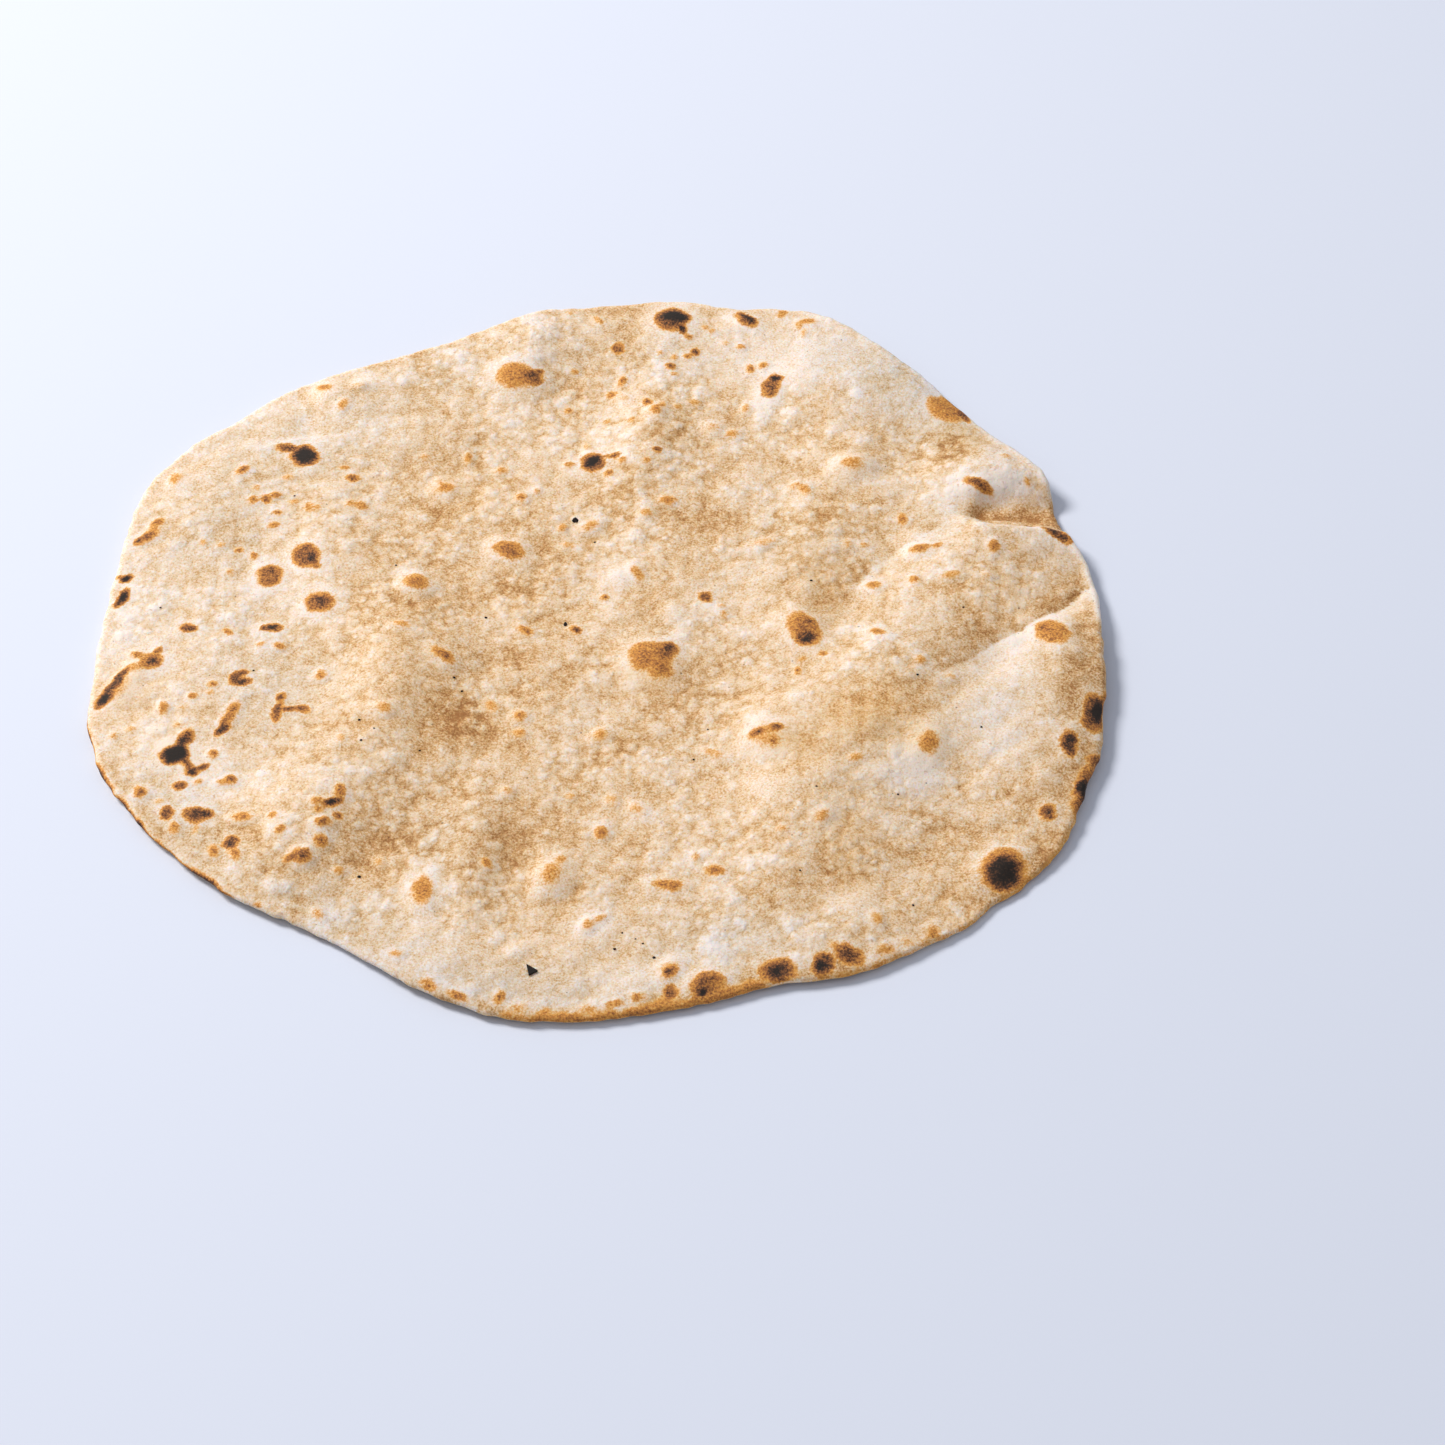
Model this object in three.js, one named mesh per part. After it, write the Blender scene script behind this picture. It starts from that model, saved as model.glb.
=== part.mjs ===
import * as THREE from 'three';

// A chapati: a thin round flatbread of whole-wheat flour, rolled by hand and baked on a hot iron plate.
// Millimetres, +Z up. It lies on the plane z = 0, with the middle of its outline over the origin.
// Angles are in degrees, counted from +X towards +Y.

// Size of the sheet
const meanRadius = 106.5;
const sheetThickness = 2.0;
const rimThickness = 1.6;
const rimTaper = 9; // the sheet thins to its rim over this distance
const rimRound = 1.1; // how far the rounded edge reaches in

// Size of the mesh
const rings = 36; // from the middle to the rim
const rimRings = 2; // of these, on the rounded edge

// How the sheet lies
const looseLift = 1.1; // how far an unpressed stretch would stand off the table
const settling = 1.2; // a wave flattens where it comes within about this of the table

// Rolled by hand, the rim swells out or falls back along each of these stretches
const rimSwells = [
  { at: 19, reach: 5, out: -2.5 },
  { at: 40, reach: 8, out: -1.5 },
  { at: 66, reach: 10, out: 5.6 },
  { at: 116, reach: 15, out: -6.3 },
  { at: 155, reach: 10, out: 3.5 },
  { at: 200, reach: 12, out: 4.2 },
  { at: 238, reach: 11, out: -5.2 },
  { at: 266, reach: 7, out: 1.5 },
  { at: 288, reach: 11, out: -3.4 },
  { at: 323, reach: 15, out: 4.8 },
];

// Long soft waves of the sheet, each as wide as its two reaches along and across the direction of turn
const waves = [
  { x: -44, y: -16, turn: 88, along: 27, across: 10, rise: 4.1 },
  { x: -29, y: -26, turn: 88, along: 14, across: 9, rise: -1.4 },
  { x: -59, y: -52, turn: 75, along: 22, across: 12, rise: 3.6 },
  { x: -43, y: -68, turn: 75, along: 14, across: 8, rise: -1.9 },
  { x: -24, y: -62, turn: 88, along: 18, across: 6, rise: 2.2 },
  { x: -60, y: 26, turn: 98, along: 24, across: 11, rise: 2.6 },
  { x: -84, y: 36, turn: 60, along: 16, across: 12, rise: 1.9 },
  { x: -44, y: 60, turn: 10, along: 15, across: 9, rise: 1.9 },
  { x: -20, y: 94, turn: 80, along: 15, across: 9, rise: 2.2 },
  { x: 8, y: 62, turn: 80, along: 20, across: 8, rise: 2.6 },
  { x: -6, y: 76, turn: 80, along: 13, across: 7, rise: -1.9 },
  { x: 53, y: 80, turn: -30, along: 17, across: 12, rise: 2.9 },
  { x: 64, y: 62, turn: -40, along: 13, across: 8, rise: -1.9 },
  { x: -9, y: 20, turn: 75, along: 14, across: 8, rise: -2.4 },
  { x: 42, y: 24, turn: 78, along: 26, across: 7, rise: 2.2 },
  { x: 56, y: 20, turn: 70, along: 18, across: 5, rise: -1.2 },
  { x: 41, y: -50, turn: 82, along: 24, across: 11, rise: 3.4 },
  { x: 12, y: -28, turn: 60, along: 26, across: 14, rise: -2.4 },
  { x: -2, y: -76, turn: 0, along: 18, across: 14, rise: -2.2 },
  { x: 76, y: -64, turn: 40, along: 15, across: 11, rise: -2.6 },
  { x: 96, y: -22, turn: 80, along: 30, across: 11, rise: 2.6 },
  { x: 52, y: -82, turn: 25, along: 14, across: 7, rise: 1.4 },
  { x: -98, y: 8, turn: 90, along: 18, across: 9, rise: -1.8 },
  { x: 26, y: 94, turn: -20, along: 22, across: 9, rise: -1.7 },
  { x: -28, y: -93, turn: -20, along: 16, across: 8, rise: 1.7 },
];

// Creases and welts between two points, with a slope of its own width to the left and to the right
const folds = [
  // long ridge on the right
  { from: [82, 46], to: [44, -22], bow: 8, rise: 3.6, left: 18, right: 13, fade: 12 },
  // valley of the upper fold, the steep lip in front of it and the crest behind it
  { from: [101, 39.5], to: [80, 38.5], bow: 0, rise: -4.2, left: 3, right: 8, fade: 6 },
  { from: [101, 35], to: [82, 34.5], bow: 0, rise: 2.2, left: 12, right: 3, fade: 6 },
  { from: [96, 52], to: [74, 51], bow: 0, rise: 1.8, left: 7, right: 10, fade: 8 },
  // valley of the lower fold and its lip
  { from: [103, 15], to: [64, -24], bow: 0, rise: -3.4, left: 7, right: 10, fade: 12 },
  { from: [104, 8], to: [80, -22], bow: 0, rise: 1.8, left: 16, right: 8, fade: 14 },
  // curled rim at the upper right
  { from: [60, 92], to: [98, 48], bow: -4, rise: 1.4, left: 6, right: 8, fade: 10 },
];

// Main blisters, where steam parted the crumb and lifted the upper skin
const blisters = [
  { x: -60, y: 72, reach: 9, rise: 1.5 },
  { x: -22, y: 80, reach: 7, rise: 0.8 },
  { x: 12, y: 100, reach: 5, rise: 0.7 },
  { x: 53, y: 54, reach: 7, rise: 1.1 },
  { x: 42, y: 3, reach: 6, rise: 0.8 },
  { x: 93, y: 4, reach: 6, rise: 0.8 },
  { x: 11, y: -7, reach: 8, rise: 1.0 },
  { x: 34, y: -28, reach: 7, rise: 1.1 },
  { x: -8, y: -68, reach: 7, rise: 1.0 },
  { x: 52, y: -60, reach: 9, rise: 0.8 },
  { x: 83, y: -65, reach: 6, rise: 0.7 },
];

// A bell curve: 1 at no distance, and near 0 past about twice the reach
function bell(distance, reach) {
  return Math.exp(-((distance / reach) ** 2));
}

function edgeRadius(angle) {
  let radius = meanRadius;
  for (const swell of rimSwells) {
    const apart = THREE.MathUtils.euclideanModulo(angle - swell.at + 180, 360) - 180;
    radius += swell.out * bell(apart, swell.reach);
  }
  return radius;
}

function waveHeight(x, y, wave) {
  const turn = THREE.MathUtils.degToRad(wave.turn);
  const alongWave = (x - wave.x) * Math.cos(turn) + (y - wave.y) * Math.sin(turn);
  const acrossWave = (y - wave.y) * Math.cos(turn) - (x - wave.x) * Math.sin(turn);
  return wave.rise * bell(alongWave, wave.along) * bell(acrossWave, wave.across);
}

function foldHeight(x, y, fold) {
  const start = new THREE.Vector2(...fold.from);
  const direction = new THREE.Vector2(...fold.to).sub(start);
  const length = direction.length();
  direction.normalize();
  const point = new THREE.Vector2(x, y).sub(start);
  const alongFold = point.dot(direction);
  const share = THREE.MathUtils.clamp(alongFold / length, -0.2, 1.2);
  const toLeft = direction.cross(point) - fold.bow * (1 - (2 * share - 1) ** 2);
  const pastEnd = Math.max(0, -alongFold, alongFold - length);
  const slope = toLeft > 0 ? fold.left : fold.right;
  return fold.rise * bell(toLeft, slope) * bell(pastEnd, fold.fade);
}

// Height of the underside: flat on the table where the waves are low, and lifted off it where they are high
function undersideHeight(x, y) {
  let height = looseLift;
  for (const wave of waves) height += waveHeight(x, y, wave);
  for (const fold of folds) height += foldHeight(x, y, fold);
  if (height <= 0) return 0;
  return height ** 2 / (height + settling);
}

function sheetDepth(x, y, fromRim) {
  const inside = THREE.MathUtils.smoothstep(fromRim, 0, rimTaper);
  let depth = THREE.MathUtils.lerp(rimThickness, sheetThickness, inside);
  for (const blister of blisters) {
    depth += blister.rise * inside * bell(Math.hypot(x - blister.x, y - blister.y), blister.reach);
  }
  return depth;
}

// Where a point of the octahedron goes. Its rings of squares become rings of the bread's outline, the
// outermost ones on the rounded edge. Its upper half becomes the top of the bread and its lower half the
// underside, so both faces are split into triangles alike.
function breadPoint(corner) {
  const flat = Math.abs(corner.x) + Math.abs(corner.y);
  const ring = (rings * flat) / (flat + Math.abs(corner.z));
  const quarter = flat > 0 ? (90 * Math.abs(corner.y)) / flat : 0;
  const halfTurn = corner.x < 0 ? 180 - quarter : quarter;
  const angle = corner.y < 0 ? -halfTurn : halfTurn;
  const edge = edgeRadius(angle);

  const innerRings = rings - rimRings;
  const roundOff = THREE.MathUtils.clamp((rings - ring) / rimRings, 0, 1) * (Math.PI / 2);
  const onEdge = edge - rimRound * (1 - Math.cos(roundOff));
  const radius = ring > innerRings ? onEdge : ((edge - rimRound) * ring) / innerRings;
  const x = radius * Math.cos(THREE.MathUtils.degToRad(angle));
  const y = radius * Math.sin(THREE.MathUtils.degToRad(angle));

  const halfDepth = sheetDepth(x, y, edge - radius) / 2;
  const middle = undersideHeight(x, y) + halfDepth;
  const side = Math.sign(corner.z);
  return new THREE.Vector3(x, y, middle + side * halfDepth * Math.sin(roundOff));
}

function breadGeometry() {
  const geometry = new THREE.OctahedronGeometry(1, rings - 1);
  const position = geometry.getAttribute('position');
  const corner = new THREE.Vector3();
  for (let i = 0; i < position.count; i += 1) {
    const point = breadPoint(corner.fromBufferAttribute(position, i));
    position.setXYZ(i, point.x, point.y, point.z);
  }
  geometry.computeBoundingBox();
  const middle = geometry.boundingBox.getCenter(new THREE.Vector3());
  geometry.translate(-middle.x, -middle.y, 0);
  geometry.computeVertexNormals();
  return geometry;
}

const bakedDough = new THREE.MeshStandardMaterial({ color: 0xe3c7a6, roughness: 0.9, metalness: 0 });
const chapati = new THREE.Mesh(breadGeometry(), bakedDough);
chapati.name = 'chapati';

const group = new THREE.Group();
group.add(chapati);

export default group;
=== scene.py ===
import math

import bmesh
import bpy
import numpy as np
from mathutils import Matrix, Vector


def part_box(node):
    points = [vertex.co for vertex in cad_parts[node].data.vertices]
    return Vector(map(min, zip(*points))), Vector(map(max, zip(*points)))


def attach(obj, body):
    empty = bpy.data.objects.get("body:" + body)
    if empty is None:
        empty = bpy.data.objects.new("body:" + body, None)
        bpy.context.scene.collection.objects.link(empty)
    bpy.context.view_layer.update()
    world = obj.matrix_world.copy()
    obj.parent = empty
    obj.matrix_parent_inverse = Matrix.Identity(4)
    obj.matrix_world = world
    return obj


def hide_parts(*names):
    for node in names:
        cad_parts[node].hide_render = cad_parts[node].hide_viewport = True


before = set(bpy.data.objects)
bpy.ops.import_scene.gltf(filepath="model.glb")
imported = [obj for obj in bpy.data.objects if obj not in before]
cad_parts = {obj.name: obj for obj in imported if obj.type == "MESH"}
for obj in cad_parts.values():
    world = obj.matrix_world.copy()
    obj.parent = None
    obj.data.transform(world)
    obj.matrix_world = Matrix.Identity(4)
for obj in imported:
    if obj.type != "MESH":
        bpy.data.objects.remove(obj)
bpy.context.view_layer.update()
mm = 0.001
print("frame loaded:", sorted(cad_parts))


# small helpers

def sumOf(parts):
    total = 0
    for part in parts:
        total = total + part
    return total


# 1 at no distance, near 0 past about twice the reach
def bell(distance, reach):
    return np.exp(-((distance / reach) ** 2))


# 0 below low, 1 above high, with a soft S between them
def softStep(value, low, high):
    share = np.clip((value - low) / (high - low), 0, 1)
    return share * share * (3 - 2 * share)


# Random values from -1 to 1 on a square lattice of this grain, blended softly from one to the next
def softNoise(x, y, grain, seed):
    lattice = np.random.default_rng(seed).uniform(-1, 1, (512, 512))
    column, row = x / grain + 256, y / grain + 256
    i, j = np.floor(column).astype(int), np.floor(row).astype(int)
    a, b = softStep(column - i, 0, 1), softStep(row - j, 0, 1)
    near = lattice[j, i] * (1 - a) + lattice[j, i + 1] * a
    far = lattice[j + 1, i] * (1 - a) + lattice[j + 1, i + 1] * a
    return near * (1 - b) + far * b


# A rounded bubble in each square cell, its middle, width and height drawn at random, few of them tall. Each
# falls away as a power of one minus the squared distance over its radius, and the highest of the nine nearest
# is kept.
def bubbleField(x, y, cell, seed):
    draw = np.random.default_rng(seed)
    middleX, middleY, wide, tall = draw.uniform(0, 1, (4, 512, 512))
    i, j = np.floor(x / cell).astype(int) + 256, np.floor(y / cell).astype(int) + 256
    highest = np.zeros_like(x)
    for di in (-1, 0, 1):
        for dj in (-1, 0, 1):
            here = (j + dj, i + di)
            awayX = x / cell - (i + di - 256 + 0.15 + 0.7 * middleX[here])
            awayY = y / cell - (j + dj - 256 + 0.15 + 0.7 * middleY[here])
            radius = 0.42 + 0.4 * wide[here]
            inward = np.maximum(1 - (awayX ** 2 + awayY ** 2) / radius ** 2, 0)
            dome = (0.2 + 0.8 * tall[here] ** 2) * inward ** 1.5
            highest = np.maximum(highest, dome)
    return highest


# the bread: a thin wavy sheet, in mm and degrees, before it is centred over the origin

bread = {
    "meanRadius": 106.5,
    "sheetThickness": 2.0,
    "rimThickness": 1.6,
    "rimTaper": 9,  # the sheet thins to its rim over this distance
    "rimRound": 1.1,  # how far the rounded edge reaches in
    "rimNicks": [(0.45, 7, 31), (0.28, 2.2, 32)],  # how far the edge wanders, grain, seed
    "bareRim": (0.5, 5),  # the small relief comes in between these distances from the edge
    "stretched": (6.5, 7.8),  # and is lower on crests, fully so from the second of these heights
    "looseLift": 1.1,  # how far an unpressed stretch would stand off the table
    "settling": 1.2,  # a wave flattens where it comes within about this of the table
    "wrinkleTurn": 35,
    "skinSink": 0.3,  # the skin between the bubbles lies this far below the mean surface
    "topCells": 288,  # cells along a side of the upper grid
    "underCells": 96,  # the lower grid has a third as many
    "rimSwells": [  # at, reach, out
        (19, 5, -2.5), (40, 8, -1.5), (66, 10, 5.6), (116, 15, -6.3), (155, 10, 3.5),
        (200, 12, 4.2), (238, 11, -5.2), (266, 7, 1.5), (288, 11, -3.4), (323, 15, 4.8),
    ],
    "fineSwells": [  # the same for what is too short for a plain solid
        (14, 6, 0.5), (26, 5, 1), (56, 6, 0.8), (68, 7, 1.5), (82.5, 7.5, 2.8), (141, 6, -1.1),
        (248, 7, -1), (271, 9, -1.8), (290, 6, -0.9), (318.5, 5, -2.1), (331, 4, 1), (343, 6, 1.1),
        (359, 4.5, -0.9),
    ],
    "waves": [  # x, y, turn, reach along, reach across, rise
        (-44, -16, 88, 27, 10, 4.1), (-29, -26, 88, 14, 9, -1.4), (-59, -52, 75, 22, 12, 3.6),
        (-43, -68, 75, 14, 8, -1.9), (-24, -62, 88, 18, 6, 2.2), (-60, 26, 98, 24, 11, 2.6),
        (-84, 36, 60, 16, 12, 1.9), (-44, 60, 10, 15, 9, 1.9), (-20, 94, 80, 15, 9, 2.2),
        (8, 62, 80, 20, 8, 2.6), (-6, 76, 80, 13, 7, -1.9), (53, 80, -30, 17, 12, 2.9),
        (64, 62, -40, 13, 8, -1.9), (-9, 20, 75, 14, 8, -2.4), (42, 24, 78, 26, 7, 2.2),
        (56, 20, 70, 18, 5, -1.2), (41, -50, 82, 24, 11, 3.4), (12, -28, 60, 26, 14, -2.4),
        (-2, -76, 0, 18, 14, -2.2), (76, -64, 40, 15, 11, -2.6), (96, -22, 80, 30, 11, 2.6),
        (52, -82, 25, 14, 7, 1.4), (-98, 8, 90, 18, 9, -1.8), (26, 94, -20, 22, 9, -1.7),
        (-28, -93, -20, 16, 8, 1.7),
    ],
    "folds": [  # from, to, bow, rise, slope on the left, slope on the right, fade
        ((82, 46), (44, -22), 8, 3.6, 18, 13, 12),  # long ridge on the right
        ((101, 39.5), (80, 38.5), 0, -4.2, 3, 8, 6),  # valley of the upper fold
        ((101, 35), (82, 34.5), 0, 2.2, 12, 3, 6),  # steep lip in front of it
        ((96, 52), (74, 51), 0, 1.8, 7, 10, 8),  # crest behind it
        ((103, 15), (64, -24), 0, -3.4, 7, 10, 12),  # valley of the lower fold
        ((104, 8), (80, -22), 0, 1.8, 16, 8, 14),  # its lip
        ((60, 92), (98, 48), -4, 1.4, 6, 8, 10),  # curled rim at the upper right
    ],
    "fineFolds": [  # the same as the folds, for what is too fine for a plain solid
        ((99, 34.8), (82, 34.4), 0, -2.4, 2, 2, 2.5),  # a sharp lip on the crest of the upper fold
        ((99, 17), (57, -25), 0, 1.5, 5, 9, 10),  # fills out the flank above the lower fold
        ((103, 12), (70, -25), 0, 1.1, 4, 3.5, 5),  # and the foot of the flank below it
        ((76, -13), (56, -31), 0, 1.0, 6, 8, 6),  # closes the valley towards its end
        ((60, -12), (54, -40), 4, 0.9, 10, 10, 10),
        ((66, -28), (57, -44), 0, 1.0, 9, 12, 8),
        ((69, -14), (61, -34), 0, 0.9, 8, 14, 8),
        ((79.2, 43.5), (77, 37), 0, 1.5, 2, 5, 2.7),  # shoulder at the end of the upper fold
        ((97, 46), (81, 45.5), 0, 0.8, 2.5, 6, 4),  # brings the crest behind it forward
        ((102, 36.2), (95, 35.2), 0, 0.8, 2.5, 4, 3),
        ((-32, -4), (-32, -36), 0, 0.9, 6, 6, 6),
        ((54, 56), (64, 76), 0, 0.8, 8, 8, 6),
        ((41, 84), (50, 104), 0, 0.8, 7, 9, 6),
        ((58, 45), (53, 16), 0, 0.7, 9, 8, 8),
        ((-69.6, 78), (-67.5, 61), 0, -0.7, 3, 3, 3),  # side of the blister on the left
    ],
    "blisters": [  # x, y, reach, rise
        (-60, 72, 9, 1.5), (-22, 80, 7, 0.8), (12, 100, 5, 0.7), (53, 54, 7, 1.1), (42, 3, 6, 0.8),
        (93, 4, 6, 0.8), (11, -7, 8, 1), (34, -28, 7, 1.1), (-8, -68, 7, 1), (52, -60, 9, 0.8),
        (83, -65, 6, 0.7),
    ],
}


# Bell-shaped swells of the hand-rolled rim, each round its own angle
def swellsOut(angle, swells):
    return sumOf(out * bell((angle - at + 180) % 360 - 180, reach) for at, reach, out in swells)


# Mean radius plus the broad swells
def edgeRadius(angle):
    return bread["meanRadius"] + swellsOut(angle, bread["rimSwells"])


# A bell along the wave's own direction times a bell across it
def waveHeight(x, y, wave):
    middleX, middleY, turn, along, across, rise = wave
    cosTurn, sinTurn = math.cos(math.radians(turn)), math.sin(math.radians(turn))
    alongWave = (x - middleX) * cosTurn + (y - middleY) * sinTurn
    acrossWave = (y - middleY) * cosTurn - (x - middleX) * sinTurn
    return rise * bell(alongWave, along) * bell(acrossWave, across)


# A bell across a bowed line, with a reach of its own on either side, that fades past the line's two ends
def foldHeight(x, y, fold):
    start, end, bow, rise, left, right, fade = fold
    length = math.dist(start, end)
    stepX, stepY = (end[0] - start[0]) / length, (end[1] - start[1]) / length
    alongFold = (x - start[0]) * stepX + (y - start[1]) * stepY
    share = np.clip(alongFold / length, -0.2, 1.2)
    toLeft = stepX * (y - start[1]) - stepY * (x - start[0]) - bow * (1 - (2 * share - 1) ** 2)
    pastEnd = np.maximum(0, np.maximum(-alongFold, alongFold - length))
    return rise * bell(toLeft, np.where(toLeft > 0, left, right)) * bell(pastEnd, fade)


# Waves and folds added up; flat on the table where they are low, and lifted off it where they are high
def undersideHeight(x, y):
    height = bread["looseLift"] + sumOf(waveHeight(x, y, wave) for wave in bread["waves"])
    height = height + sumOf(foldHeight(x, y, fold) for fold in bread["folds"])
    lifted = np.maximum(height, 0)
    settled = lifted ** 2 / (lifted + bread["settling"])
    return np.maximum(settled + sumOf(foldHeight(x, y, fold) for fold in bread["fineFolds"]), 0)


# Thinner towards the rim, thicker over each blister
def sheetDepth(x, y, fromRim):
    inside = softStep(fromRim, 0, bread["rimTaper"])
    depth = bread["rimThickness"] + (bread["sheetThickness"] - bread["rimThickness"]) * inside
    rises = [rise * bell(np.hypot(x - bx, y - by), reach) for bx, by, reach, rise in bread["blisters"]]
    return depth + inside * sumOf(rises)


# how it is baked: the marks that the hot plate left, and the browning between them, into which painted shade
# and painted light are mixed

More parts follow.
